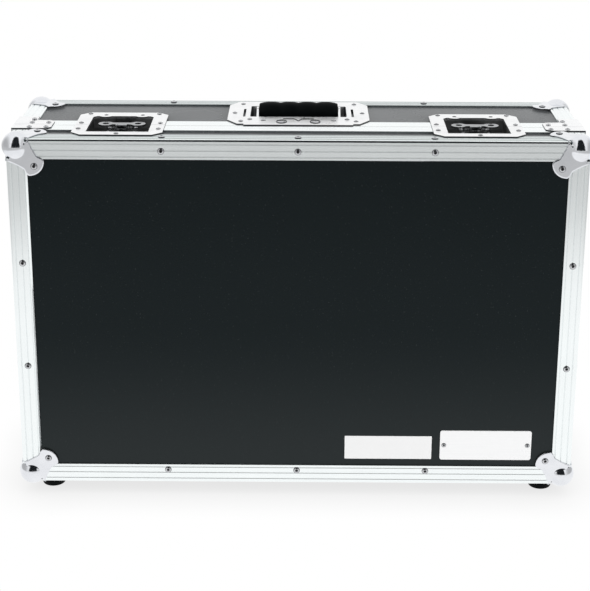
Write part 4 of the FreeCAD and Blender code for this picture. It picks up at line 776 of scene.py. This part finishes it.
def ridge(shape, path, half, low, high, closed=False):
    """A ridge with sloping sides along a flat path, from the height low to the height high."""
    count = len(path)
    rows = []
    for n, spot in enumerate(path):
        before = path[(n - 1) % count] if closed or n > 0 else spot
        after = path[(n + 1) % count] if closed or n < count - 1 else spot
        run = Vector((after[0] - before[0], after[1] - before[1])).normalized()
        side = Vector((-run.y, run.x)) * half
        rows.append([
            shape.verts.new((spot[0] + side.x * out, spot[1] + side.y * out, high if raised else low))
            for out, raised in RIDGE_SECTION
        ])
    for n in range(count if closed else count - 1):
        first, second = rows[n], rows[(n + 1) % count]
        for k in range(4):
            shape.faces.new((first[k], first[(k + 1) % 4], second[(k + 1) % 4], second[k]))
    if not closed:
        shape.faces.new(rows[0])
        shape.faces.new(rows[-1])
    bmesh.ops.recalc_face_normals(shape, faces=shape.faces)


print("ridge helper ready")

# %% [markdown]
# The line is a list of points to the left and right of the middle, in millimetres. The rings are ovals,
# so a sine and a cosine give their points. The beads are a piece of their own on the handle's plate.

# %% Beads in the handle plate
BEAD_HALF, BEAD_SUNK, BEAD_RISE = 0.75 * MM, 0.1 * MM, 0.8 * MM
BEAD_FROM_FRONT = 30 * MM
LINE_POINTS = ((-19, 0), (-6, 0), (-4, -1.5), (0, -11), (4, -1.5), (6, 0), (19, 0))
RING_OUT, RING_FORWARD, RING_HALF_WIDE, RING_HALF_DEEP = 21 * MM, 14 * MM, 6.2 * MM, 8.0 * MM
RING_POINTS = 32

plate_low, plate_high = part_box("handle_dish")
bead_y = plate_low.y + BEAD_FROM_FRONT
bead_low, bead_high = plate_high.z - BEAD_SUNK, plate_high.z + BEAD_RISE
beads = bmesh.new()
line = [(x * MM, bead_y + y * MM) for x, y in LINE_POINTS]
ridge(beads, line, BEAD_HALF, bead_low, bead_high)
angles = [2 * math.pi * n / RING_POINTS for n in range(RING_POINTS)]
for middle in (-RING_OUT, RING_OUT):
    ring = [
        (middle + RING_HALF_WIDE * math.cos(a), bead_y - RING_FORWARD + RING_HALF_DEEP * math.sin(a))
        for a in angles
    ]
    ridge(beads, ring, BEAD_HALF, bead_low, bead_high, closed=True)
# Painted shade: the beads take the dark edge finish, so they show as dark lines.
embossing = smooth_shaded(to_object(beads, "handle_plate_beads", edge_shade_steel), METAL_CREASE)
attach(embossing, BODIES["handle_dish"])
print(embossing.name, len(embossing.data.polygons), "faces")

# %% [markdown]
# A ball corner is one pressing: a ball that flows into three paddles. The CAD solid has a crease where
# they meet. Voxel Remesh turns one corner into an even skin and a few smoothing passes melt the crease
# into a fillet. Mirrored copies give the other corners, and their normals are made to point out again.

# %% Ball corners
CORNER_VOXEL = 0.75 * MM
MELT_FACTOR, MELT_PASSES = 0.5, 5
CORNER_CREASE = 60


def one_corner():
    """The lid's upper left corner, as one smooth skin."""
    shape = merged_copy("lid_ball_corners", lambda co: co.x < 0 and co.z > ENVELOPE_MIDDLE.z)
    made = to_object(shape, "corner_master", ball_steel)
    remesh = made.modifiers.new("skin", "REMESH")
    remesh.mode = "VOXEL"
    remesh.voxel_size = CORNER_VOXEL
    melt = made.modifiers.new("melt", "SMOOTH")
    melt.factor = MELT_FACTOR
    melt.iterations = MELT_PASSES
    return baked(made)


def mirrored_set(master, name, signs):
    """Copies of a mesh, each mirrored about the envelope's middle along the axes with a minus sign."""
    to_middle, from_middle = Matrix.Translation(ENVELOPE_MIDDLE), Matrix.Translation(-ENVELOPE_MIDDLE)
    whole = bmesh.new()
    for sign in signs:
        part = master.data.copy()
        part.transform(to_middle @ Matrix.Diagonal((*sign, 1)) @ from_middle)
        whole.from_mesh(part)
        bpy.data.meshes.remove(part)
    bmesh.ops.recalc_face_normals(whole, faces=whole.faces)
    return smooth_shaded(to_object(whole, name, ball_steel), CORNER_CREASE)


master = one_corner()
for half, depth_sign in (("lid", 1), ("base", -1)):
    signs = [(x, depth_sign, z) for x in (1, -1) for z in (1, -1)]
    made = mirrored_set(master, half + "_ball_corner_castings", signs)
    stand_in_for(made, half + "_ball_corners")
    print(made.name, len(made.data.polygons), "faces")
bpy.data.objects.remove(master)

# %% [markdown]
# Every rivet and screw sits where CAD put one. Each CAD node of fasteners is a set of loose heads, so the
# islands of its merged mesh give the places. The shortest side of an island's box is the direction of
# the head, and it points away from the middle of the case.

# %% Where the fasteners sit
Head = namedtuple("Head", "foot outward radius height")


def islands(shape):
    """Lists of vertices that hang together, in the mesh's own order."""
    met = set()
    for start in shape.verts:
        if start in met:
            continue
        met.add(start)
        group, ring = [], [start]
        while ring:
            vertex = ring.pop()
            group.append(vertex)
            for edge in vertex.link_edges:
                other = edge.other_vert(vertex)
                if other not in met:
                    met.add(other)
                    ring.append(other)
        yield group


def heads_of(node):
    """Every head in a node: its foot's centre, its outward direction, its radius and its height."""
    shape = merged_copy(node)
    found = []
    for group in islands(shape):
        spots = np.array([v.co for v in group])
        low, high = spots.min(0), spots.max(0)
        size = high - low
        axis = int(np.argmin(size))
        foot = (low + high) / 2
        outward = np.zeros(3)
        outward[axis] = 1 if foot[axis] > ENVELOPE_MIDDLE[axis] else -1
        foot[axis] = low[axis] if outward[axis] > 0 else high[axis]
        found.append(Head(foot, outward, float(np.sort(size)[1] / 2), float(size[axis])))
    shape.free()
    return found


print(len(heads_of("lid_edge_rivets")), "rivets in the lid's edges")

# %% [markdown]
# Geometry Nodes make the heads. A tree takes points, each with the attribute facing, and puts a turned
# copy of one head on every point. Its sizes are inputs, so the same tree serves rivets of any size. An
# input is filled by its identifier, which stays the same when someone changes its name.


# %% Trees and their inputs
def geometry_tree(name, numbers, materials=("Finish",)):
    """A tree with the input Places, one input for each number and material, and the output Made."""
    tree = bpy.data.node_groups.new(name, "GeometryNodeTree")
    face = tree.interface
    face.new_socket("Places", in_out="INPUT", socket_type="NodeSocketGeometry")
    for label, value in numbers.items():
        face.new_socket(label, in_out="INPUT", socket_type="NodeSocketFloat").default_value = value
    for label in materials:
        face.new_socket(label, in_out="INPUT", socket_type="NodeSocketMaterial")
    face.new_socket("Made", in_out="OUTPUT", socket_type="NodeSocketGeometry")
    return tree, add(tree, "NodeGroupInput").outputs


def close_tree(tree, geometry):
    add(tree, "NodeGroupOutput", {"Made": geometry})
    print(tree.name, "has", len(tree.nodes), "nodes")
    return tree


def run_tree(made, tree, values):
    """Runs a tree on an object with these inputs and keeps the result as a plain mesh."""
    modifier = made.modifiers.new("shape", "NODES")
    modifier.node_group = tree
    for item in tree.interface.items_tree:
        if item.in_out == "INPUT" and item.name in values:
            modifier[item.identifier] = values[item.name]
    return baked(made)


print("tree inputs ready")

# %% [markdown]
# Copies on points are instances: light, but an export drops them. So they are made real, and the finish
# is given after that, to all faces or to a selection of them.


# %% Copies on points
def on_points(tree, places, head):
    """Instances of a head on every point, along the attribute named facing, made real."""
    facing = add(tree, "GeometryNodeInputNamedAttribute", {"Name": "facing"}, data_type="FLOAT_VECTOR")
    turned = {"Vector": facing.outputs["Attribute"]}
    aligned = add(tree, "FunctionNodeAlignRotationToVector", turned, axis="Z")
    points = add(tree, "GeometryNodeMeshToPoints", {"Mesh": places})
    values = {"Points": points.outputs[0], "Instance": head, "Rotation": aligned.outputs[0]}
    copies = add(tree, "GeometryNodeInstanceOnPoints", values)
    return add(tree, "GeometryNodeRealizeInstances", {"Geometry": copies.outputs[0]}).outputs[0]


def given_finish(tree, geometry, material, selection=True):
    values = {"Geometry": geometry, "Selection": selection, "Material": material}
    return add(tree, "GeometryNodeSetMaterial", values).outputs[0]


print("copies ready")

# %% [markdown]
# Both kinds of head start as a disc with rings on its cap. Each ring is lifted to the height of a low
# dome, which falls off with the fourth power of the distance from the middle: nearly flat on top, round
# at the rim, as a formed head is.

# %% A domed disc
HEAD_SIDES = 28
Disc = namedtuple("Disc", "mesh axes out share dome on_top")


def flat_disc(tree, given, rings, droop):
    """A disc, and for its points: place, distance from the middle, share of the radius, and dome height."""
    mesh = add(tree, "GeometryNodeMeshCylinder", {
        "Vertices": HEAD_SIDES, "Side Segments": 1, "Fill Segments": rings,
        "Radius": given["Head Radius"], "Depth": given["Head Height"],
    }, fill_type="TRIANGLE_FAN").outputs["Mesh"]
    axes = axes_of(tree, add(tree, "GeometryNodeInputPosition").outputs[0])
    flat = add(tree, "ShaderNodeCombineXYZ", {"X": axes["X"], "Y": axes["Y"]}).outputs[0]
    out = add(tree, "ShaderNodeVectorMath", {0: flat}, operation="LENGTH").outputs["Value"]
    share = calc(tree, "DIVIDE", out, given["Head Radius"])
    fall = calc(tree, "MULTIPLY", calc(tree, "POWER", share, 4.0), droop)
    dome = calc(tree, "MULTIPLY", calc(tree, "SUBTRACT", 1.0, fall), given["Head Height"])
    return Disc(mesh, axes, out, share, dome, calc(tree, "GREATER_THAN", axes["Z"], 0.0))


def lifted(tree, disc, height):
    """The disc with its top at the height and its underside on zero."""
    rise = calc(tree, "MULTIPLY", height, disc.on_top)
    place = add(tree, "ShaderNodeCombineXYZ", {"X": disc.axes["X"], "Y": disc.axes["Y"], "Z": rise})
    values = {"Geometry": disc.mesh, "Position": place.outputs[0]}
    return add(tree, "GeometryNodeSetPosition", values).outputs[0]


print("discs with", HEAD_SIDES, "sides")

# %% [markdown]
# A blind rivet is such a dome with a small bore where its mandrel broke off. The bore and the rim are
# marked with attributes on the one head, and the finishes are given by these marks after the copies are
# real: a dark bore, and a dark line of shadow round the foot.

# %% A tree for blind rivets
RIVET_RINGS, RIVET_DROOP = 7, 0.85
BORE_DEPTH_SHARE, BORE_MARK, RIM_MARK = 0.75, 0.6, 0.9


def marked(tree, geometry, name, value):
    values = {"Geometry": geometry, "Name": name, "Value": value}
    return add(tree, "GeometryNodeStoreNamedAttribute", values, data_type="FLOAT", domain="POINT").outputs[0]


def above_mark(tree, name, limit):
    mark = add(tree, "GeometryNodeInputNamedAttribute", {"Name": name}, data_type="FLOAT")
    return calc(tree, "GREATER_THAN", mark.outputs["Attribute"], limit)


RIVET_SIZES = {"Head Radius": 4.2 * MM, "Head Height": 1.7 * MM, "Bore Radius": 1.2 * MM}
tree, given = geometry_tree("blind_rivets", RIVET_SIZES, ("Finish", "Bore", "Rim"))
disc = flat_disc(tree, given, RIVET_RINGS, RIVET_DROOP)
in_bore = calc(tree, "LESS_THAN", disc.out, given["Bore Radius"])
sunk = product(tree, in_bore, BORE_DEPTH_SHARE, given["Head Height"])
head = lifted(tree, disc, calc(tree, "SUBTRACT", disc.dome, sunk))
head = marked(tree, head, "bore", calc(tree, "MULTIPLY", in_bore, disc.on_top))
head = marked(tree, head, "rim", disc.share)
head = add(tree, "GeometryNodeSetShadeSmooth", {"Geometry": head}).outputs[0]
heads = given_finish(tree, on_points(tree, given["Places"], head), given["Finish"])
heads = given_finish(tree, heads, given["Bore"], above_mark(tree, "bore", BORE_MARK))
heads = given_finish(tree, heads, given["Rim"], above_mark(tree, "rim", RIM_MARK))
rivet_tree = close_tree(tree, heads)

# %% [markdown]
# A screw is a pan head with a cross cut into it. The cross is two boxes taken away with Mesh Boolean
# before the head is copied, so the cut is made once for all the screws.

# %% A tree for cross screws
SCREW_RINGS, SCREW_DROOP = 5, 0.55
SCREW_SIZES = {
    "Head Radius": 3.2 * MM, "Head Height": 1.3 * MM, "Cross Length": 3.9 * MM, "Cross Width": 0.95 * MM,
}
tree, given = geometry_tree("cross_screws", SCREW_SIZES)
disc = flat_disc(tree, given, SCREW_RINGS, SCREW_DROOP)
head = lifted(tree, disc, disc.dome)
rise = add(tree, "ShaderNodeCombineXYZ", {"Z": given["Head Height"]}).outputs[0]
for along, across in (("Cross Length", "Cross Width"), ("Cross Width", "Cross Length")):
    size = {"X": given[along], "Y": given[across], "Z": given["Head Height"]}
    whole = add(tree, "ShaderNodeCombineXYZ", size).outputs[0]
    bar = add(tree, "GeometryNodeMeshCube", {"Size": whole}).outputs["Mesh"]
    bar = add(tree, "GeometryNodeTransform", {"Geometry": bar, "Translation": rise}).outputs[0]
    cut = add(tree, "GeometryNodeMeshBoolean", {"Mesh 1": head, "Mesh 2": bar}, operation="DIFFERENCE")
    head = cut.outputs["Mesh"]
heads = given_finish(tree, on_points(tree, given["Places"], head), given["Finish"])
screw_tree = close_tree(tree, heads)

# %% [markdown]
# A tree starts from an object of loose points. The direction of each is stored in the attribute facing,
# where the tree looks for it.


# %% Points with directions
def points_object(name, spots, directions):
    """An object of loose points, each with the direction that a copy on it will face."""
    mesh = bpy.data.meshes.new(name)
    mesh.from_pydata(spots, [], [])
    facing = mesh.attributes.new("facing", "FLOAT_VECTOR", "POINT")
    facing.data.foreach_set("vector", np.concatenate(directions))
    made = bpy.data.objects.new(name, mesh)
    scene.collection.objects.link(made)
    return made


print("points ready")

# %% [markdown]
# One function runs a tree on all the heads of a CAD node. Heads of one size go through the tree together,
# with their own radius and height as its inputs. The screws and rivets of a node then make one mesh that
# stands for the node.

# %% Heads on every place
WIDE_RIVETS = ("lid_edge_rivets", "base_edge_rivets", "lid_corner_rivets", "base_corner_rivets")
DISH_RIVETS = ("latch_rivets", "keeper_rivets", "handle_rivets", "name_plate_screws")
SCREWS = (
    "lid_brace_screws", "base_brace_screws", "hinge_lid_screws", "hinge_base_screws",
    "lid_foot_screws", "base_foot_screws",
)
WIDE_BORE, DISH_BORE = 1.3 * MM, 0.9 * MM
RIVET_FINISHES = {"Finish": rivet_steel, "Bore": dark_hole, "Rim": edge_shade_steel}
HEAD_CREASE = 40


def set_heads(node, tree, inputs):
    """Runs a tree on the places of one CAD node, lets the result stand for it and counts the heads."""
    places = heads_of(node)
    groups = {}
    for place in places:
        groups.setdefault(round(place.radius, 4), []).append(place)
    whole = bmesh.new()
    for group in groups.values():
        holder = points_object("places", [p.foot for p in group], [p.outward for p in group])
        sizes = {"Head Radius": group[0].radius, "Head Height": group[0].height}
        run_tree(holder, tree, {**sizes, **inputs})
        whole.from_mesh(holder.data)
        finishes = list(holder.data.materials)
        bpy.data.objects.remove(holder)
    made = smooth_shaded(to_object(whole, node + "_heads", *finishes), HEAD_CREASE)
    stand_in_for(made, node)
    return len(places)


KINDS = (
    (WIDE_RIVETS, rivet_tree, {"Bore Radius": WIDE_BORE, **RIVET_FINISHES}),
    (DISH_RIVETS, rivet_tree, {"Bore Radius": DISH_BORE, **RIVET_FINISHES}),
    (SCREWS, screw_tree, {"Finish": rivet_steel}),
)
total = sum(set_heads(node, tree, inputs) for nodes, tree, inputs in KINDS for node in nodes)
print(total, "heads set")

# %% [markdown]
# The handle's return springs are coils of wire round the pivots. A Spiral curve is the path, a Curve
# Circle the wire, and Curve to Mesh joins them. The tree draws one coil on each place, along the
# direction stored there.

# %% A tree for coil springs
COIL_STEPS, WIRE_SIDES = 40, 12
SPRING_SIZES = {"Coil Radius": 4.6 * MM, "Wire Radius": 0.7 * MM, "Coil Length": 5.1 * MM, "Turns": 3.0}
tree, given = geometry_tree("return_springs", SPRING_SIZES)
path = add(tree, "GeometryNodeCurveSpiral", {
    "Resolution": COIL_STEPS, "Rotations": given["Turns"], "Start Radius": given["Coil Radius"],
    "End Radius": given["Coil Radius"], "Height": given["Coil Length"],
}).outputs[0]
section = {"Resolution": WIRE_SIDES, "Radius": given["Wire Radius"]}
wire = add(tree, "GeometryNodeCurvePrimitiveCircle", section).outputs[0]
coil = add(tree, "GeometryNodeCurveToMesh", {"Curve": path, "Profile Curve": wire, "Fill Caps": True})
coils = given_finish(tree, on_points(tree, given["Places"], coil.outputs[0]), given["Finish"])
spring_tree = close_tree(tree, coils)

# %% [markdown]
# One coil starts at each end of the springs' CAD box and runs inward, so the two points face each other.

# %% Handle springs
SPRING_CREASE = 60
low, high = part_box("handle_springs")
centre = (low + high) / 2
wire_radius = SPRING_SIZES["Wire Radius"]
coil_radius = (high.z - low.z) / 2 - wire_radius
starts = [(high.x - wire_radius, centre.y, centre.z), (low.x + wire_radius, centre.y, centre.z)]
springs = points_object("return_springs", starts, [(-1.0, 0.0, 0.0), (1.0, 0.0, 0.0)])
run_tree(springs, spring_tree, {"Coil Radius": coil_radius, "Finish": spring_steel})
smooth_shaded(springs, SPRING_CREASE)
stand_in_for(springs, "handle_springs")
print("springs with", len(springs.data.polygons), "faces")

# %% [markdown]
# The grip and the feet are moulded rubber. Their edges get a generous rounded rim, which is what rubber
# looks like after a season on stage floors.

# %% Grip and feet
RUBBER_EDGES = {"handle_grip": 1.2 * MM, "lid_feet": 1.4 * MM, "base_feet": 1.4 * MM}
RUBBER_CREASE = 35
for node, width in RUBBER_EDGES.items():
    made = softened(node, rubber, width, segments=4, crease=RUBBER_CREASE)
    print(made.name, len(made.data.polygons), "faces")

# %% [markdown]
# The lining is foam. The pads behind the lid and on the floor of the base are convoluted: rows of soft
# peaks and hollows that a profile cutter leaves. The shape follows a rule, so a tree makes it: a box with
# a fine grid on it, whose front side sinks by the product of two cosine waves. The waves die out towards
# the pad's edges, which sink a little on their own and so look round.

# %% A tree for convoluted foam
GRID_STEP, EDGE_DROP = 4.4 * MM, 2.0 * MM
DEPTH_ROWS, FRONT_SHARE = 4, 0.4
FOAM_SIZES = {
    "Width": 600 * MM, "Height": 400 * MM, "Thickness": 20 * MM,
    "Wave": 9 * MM, "Pitch": 36 * MM, "Edge": 9 * MM,
}
tree, given = geometry_tree("convoluted_foam", FOAM_SIZES)
steps, waves, edges = [], [], []
axes = axes_of(tree, add(tree, "GeometryNodeInputPosition").outputs[0])
for axis, length in (("X", "Width"), ("Y", "Height")):
    steps.append(calc(tree, "ROUND", calc(tree, "DIVIDE", given[length], GRID_STEP)))
    angle = calc(tree, "DIVIDE", calc(tree, "MULTIPLY", axes[axis], 2 * math.pi), given["Pitch"])
    waves.append(calc(tree, "COSINE", angle))
    half = calc(tree, "MULTIPLY", given[length], 0.5)
    from_edge = calc(tree, "SUBTRACT", half, calc(tree, "ABSOLUTE", axes[axis]))
    edges.append(calc(tree, "MINIMUM", calc(tree, "DIVIDE", from_edge, given["Edge"]), 1.0))
size = {"X": given["Width"], "Y": given["Height"], "Z": given["Thickness"]}
block = add(tree, "GeometryNodeMeshCube", {
    "Size": add(tree, "ShaderNodeCombineXYZ", size).outputs[0],
    "Vertices X": steps[0], "Vertices Y": steps[1], "Vertices Z": DEPTH_ROWS,
}).outputs["Mesh"]
hollow = calc(tree, "SUBTRACT", 1.0, product(tree, *waves))
depth = calc(tree, "MULTIPLY", hollow, calc(tree, "MULTIPLY", given["Wave"], 0.5))
inner = product(tree, *edges)
rounding = calc(tree, "MULTIPLY", calc(tree, "SUBTRACT", 1.0, inner), EDGE_DROP)
sink = calc(tree, "ADD", calc(tree, "MULTIPLY", depth, inner), rounding)
is_front = calc(tree, "GREATER_THAN", axes["Z"], calc(tree, "MULTIPLY", given["Thickness"], FRONT_SHARE))
drop = add(tree, "ShaderNodeCombineXYZ", {"Z": product(tree, sink, is_front, -1.0)}).outputs[0]
shaped = add(tree, "GeometryNodeSetPosition", {"Geometry": block, "Offset": drop}).outputs[0]
real = add(tree, "GeometryNodeRealizeInstances", {"Geometry": shaped}).outputs[0]
foam_tree = close_tree(tree, given_finish(tree, real, given["Finish"]))

# %% [markdown]
# A pad starts as an empty object, because its tree makes all of it. The tree works with the waves facing
# up, so the result is turned to face the room it lines and moved into the space of its CAD block.

# %% Convoluted foam
PAD_MARGIN, PAD_CREASE = 1.0 * MM, 50
WAVE_MOST_SHARE = 0.5


def convoluted_pad(node, name, faces_back):
    """A pad in the space of a CAD block, its waves towards the back or the front of the case."""
    low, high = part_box(node)
    size = high - low
    made = to_object(bmesh.new(), name)
    run_tree(made, foam_tree, {
        "Width": size.x - PAD_MARGIN, "Height": size.z - PAD_MARGIN, "Thickness": size.y,
        "Wave": min(size.y * WAVE_MOST_SHARE, FOAM_SIZES["Wave"]), "Finish": foam,
    })
    turn = Matrix.Rotation(math.radians(-90 if faces_back else 90), 4, "X")
    made.data.transform(Matrix.Translation((low + high) / 2) @ turn)
    smooth_shaded(made, PAD_CREASE)
    stand_in_for(made, node)
    print(name, len(made.data.polygons), "faces")


convoluted_pad("lid_foam", "lid_foam_pad", True)
convoluted_pad("base_floor_foam", "base_floor_pad", False)

# %% [markdown]
# The wall foam is cut from flat sheet and glued in: three walls, a sheet under the dishes, and strips that
# fill the room beside them. Foam has no sharp edge and no flat face once it is cut and pressed in place,
# so each slab gets round edges from a Bevel modifier and a slightly crowned face.

# %% A slab of foam
FOAM_STEP = 14 * MM
LONG_EDGE = 1.5 * FOAM_STEP
CROWN, CROWN_REACH = 1.2 * MM, 12 * MM
CUTS_LEAST, CUTS_MOST = 2, 24


def foam_slab(whole, low, high):
    """A box between two corners whose two wide faces sink a little towards their edges."""
    size = high - low
    middle = (low + high) / 2
    thin = min(range(3), key=lambda axis: size[axis])
    shape = bmesh.new()
    bmesh.ops.create_cube(shape, size=1)
    for vertex in shape.verts:
        vertex.co = low + Vector([(c + 0.5) * s for c, s in zip(vertex.co, size)])
    for edge_axis in range(3):
        along = [e for e in shape.edges if abs((e.verts[0].co - e.verts[1].co)[edge_axis]) > LONG_EDGE]
        cuts = max(CUTS_LEAST, min(CUTS_MOST, int(size[edge_axis] / FOAM_STEP)))
        if along:
            bmesh.ops.subdivide_edges(shape, edges=along, cuts=cuts, use_grid_fill=True)
    wide_axes = [axis for axis in range(3) if axis != thin]
    for vertex in shape.verts:
        insets = [size[axis] / 2 - abs(vertex.co[axis] - middle[axis]) for axis in wide_axes]
        near = min([1.0] + [(max(inset, 0) / CROWN_REACH) ** 0.5 for inset in insets])
        side = 1 if vertex.co[thin] > middle[thin] else -1
        vertex.co[thin] -= side * CROWN * (1 - near)
    mesh = bpy.data.meshes.new("slab")
    shape.to_mesh(mesh)
    shape.free()
    whole.from_mesh(mesh)
    bpy.data.meshes.remove(mesh)


print("slabs sink", CROWN / MM, "mm at their edges")

# %% [markdown]
# The places of the slabs follow from the CAD boxes of the foam and of the dishes. Each slab is given by
# two opposite corners. The strips beside the dishes are given as spans across the top wall: where each
# starts and ends along the width and along the depth.

# %% Places of the slabs
SIDE_THICK, TOP_THICK = 12 * MM, 17 * MM
DISH_ROOM, STRIP_GAP = 1 * MM, 0.5 * MM
LATCH_POCKET_HALF, LATCH_POCKET_DEPTH = 40.5 * MM, 45.5 * MM
HANDLE_POCKET_HALF = 64.7 * MM
HANDLE_POCKET_FRONT, HANDLE_POCKET_BACK = 7.5 * MM, 67.5 * MM

foam_low, foam_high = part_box("base_wall_foam")
sheet_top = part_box("handle_dish")[0].z - DISH_ROOM
left_inside, right_inside = foam_low.x + SIDE_THICK, foam_high.x - SIDE_THICK
near, far = foam_low.y, foam_high.y
corners = [
    (foam_low, (left_inside, far, foam_high.z)),
    ((right_inside, near, foam_low.z), foam_high),
    ((left_inside, near, foam_low.z), (right_inside, far, foam_low.z + SIDE_THICK)),
    ((left_inside, near, foam_high.z - TOP_THICK), (right_inside, far, sheet_top)),
]
pockets = []
for side in ("left", "right"):
    dish_low, dish_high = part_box(side + "_latch_dish")
    centre = (dish_low.x + dish_high.x) / 2
    pockets.append((centre - LATCH_POCKET_HALF, centre + LATCH_POCKET_HALF))
pocket_back = dish_low.y + LATCH_POCKET_DEPTH
(first_start, first_end), (second_start, second_end) = pockets
spans = [
    (left_inside, first_start - STRIP_GAP, near, far),
    (first_start, first_end, pocket_back, far),
    (first_end + STRIP_GAP, -HANDLE_POCKET_HALF - STRIP_GAP, near, far),
    (-HANDLE_POCKET_HALF, HANDLE_POCKET_HALF, near, HANDLE_POCKET_FRONT),
    (-HANDLE_POCKET_HALF, HANDLE_POCKET_HALF, HANDLE_POCKET_BACK, far),
    (HANDLE_POCKET_HALF + STRIP_GAP, second_start - STRIP_GAP, near, far),
    (second_start, second_end, pocket_back, far),
    (second_end + STRIP_GAP, right_inside, near, far),
]
for start, end, front, back in spans:
    corners.append(((start, front, sheet_top), (end, back, foam_high.z)))
print(len(corners), "slabs to cut")

# %% [markdown]
# All the slabs go into one mesh, each a hair smaller than its place so that no two touch, and one Bevel
# modifier rounds them together.

# %% Wall foam
SLAB_PLAY, SLAB_EDGE = 0.1 * MM, 1.2 * MM
SLAB_BEVEL_ANGLE, SLAB_CREASE = 50, 60
play = Vector((SLAB_PLAY, SLAB_PLAY, SLAB_PLAY))
whole = bmesh.new()
for low, high in corners:
    foam_slab(whole, Vector(low) + play, Vector(high) - play)
wall_foam = bevelled(to_object(whole, "wall_foam_slabs", foam), SLAB_EDGE, 2, SLAB_BEVEL_ANGLE)
smooth_shaded(wall_foam, SLAB_CREASE)
stand_in_for(wall_foam, "base_wall_foam")
print(len(corners), "foam slabs with", len(wall_foam.data.polygons), "faces")

# %% [markdown]
# The panels and the label keep their CAD shapes and take their finishes, which go into the material slots
# of the CAD nodes themselves.

# %% Panels and label
kept_shapes = {node: laminate for node in NODES if node.endswith("_panel")}
kept_shapes["blank_label"] = paper
for node, material in kept_shapes.items():
    NODES[node].data.materials.clear()
    NODES[node].data.materials.append(material)
print(len(kept_shapes), "nodes with their CAD shapes")
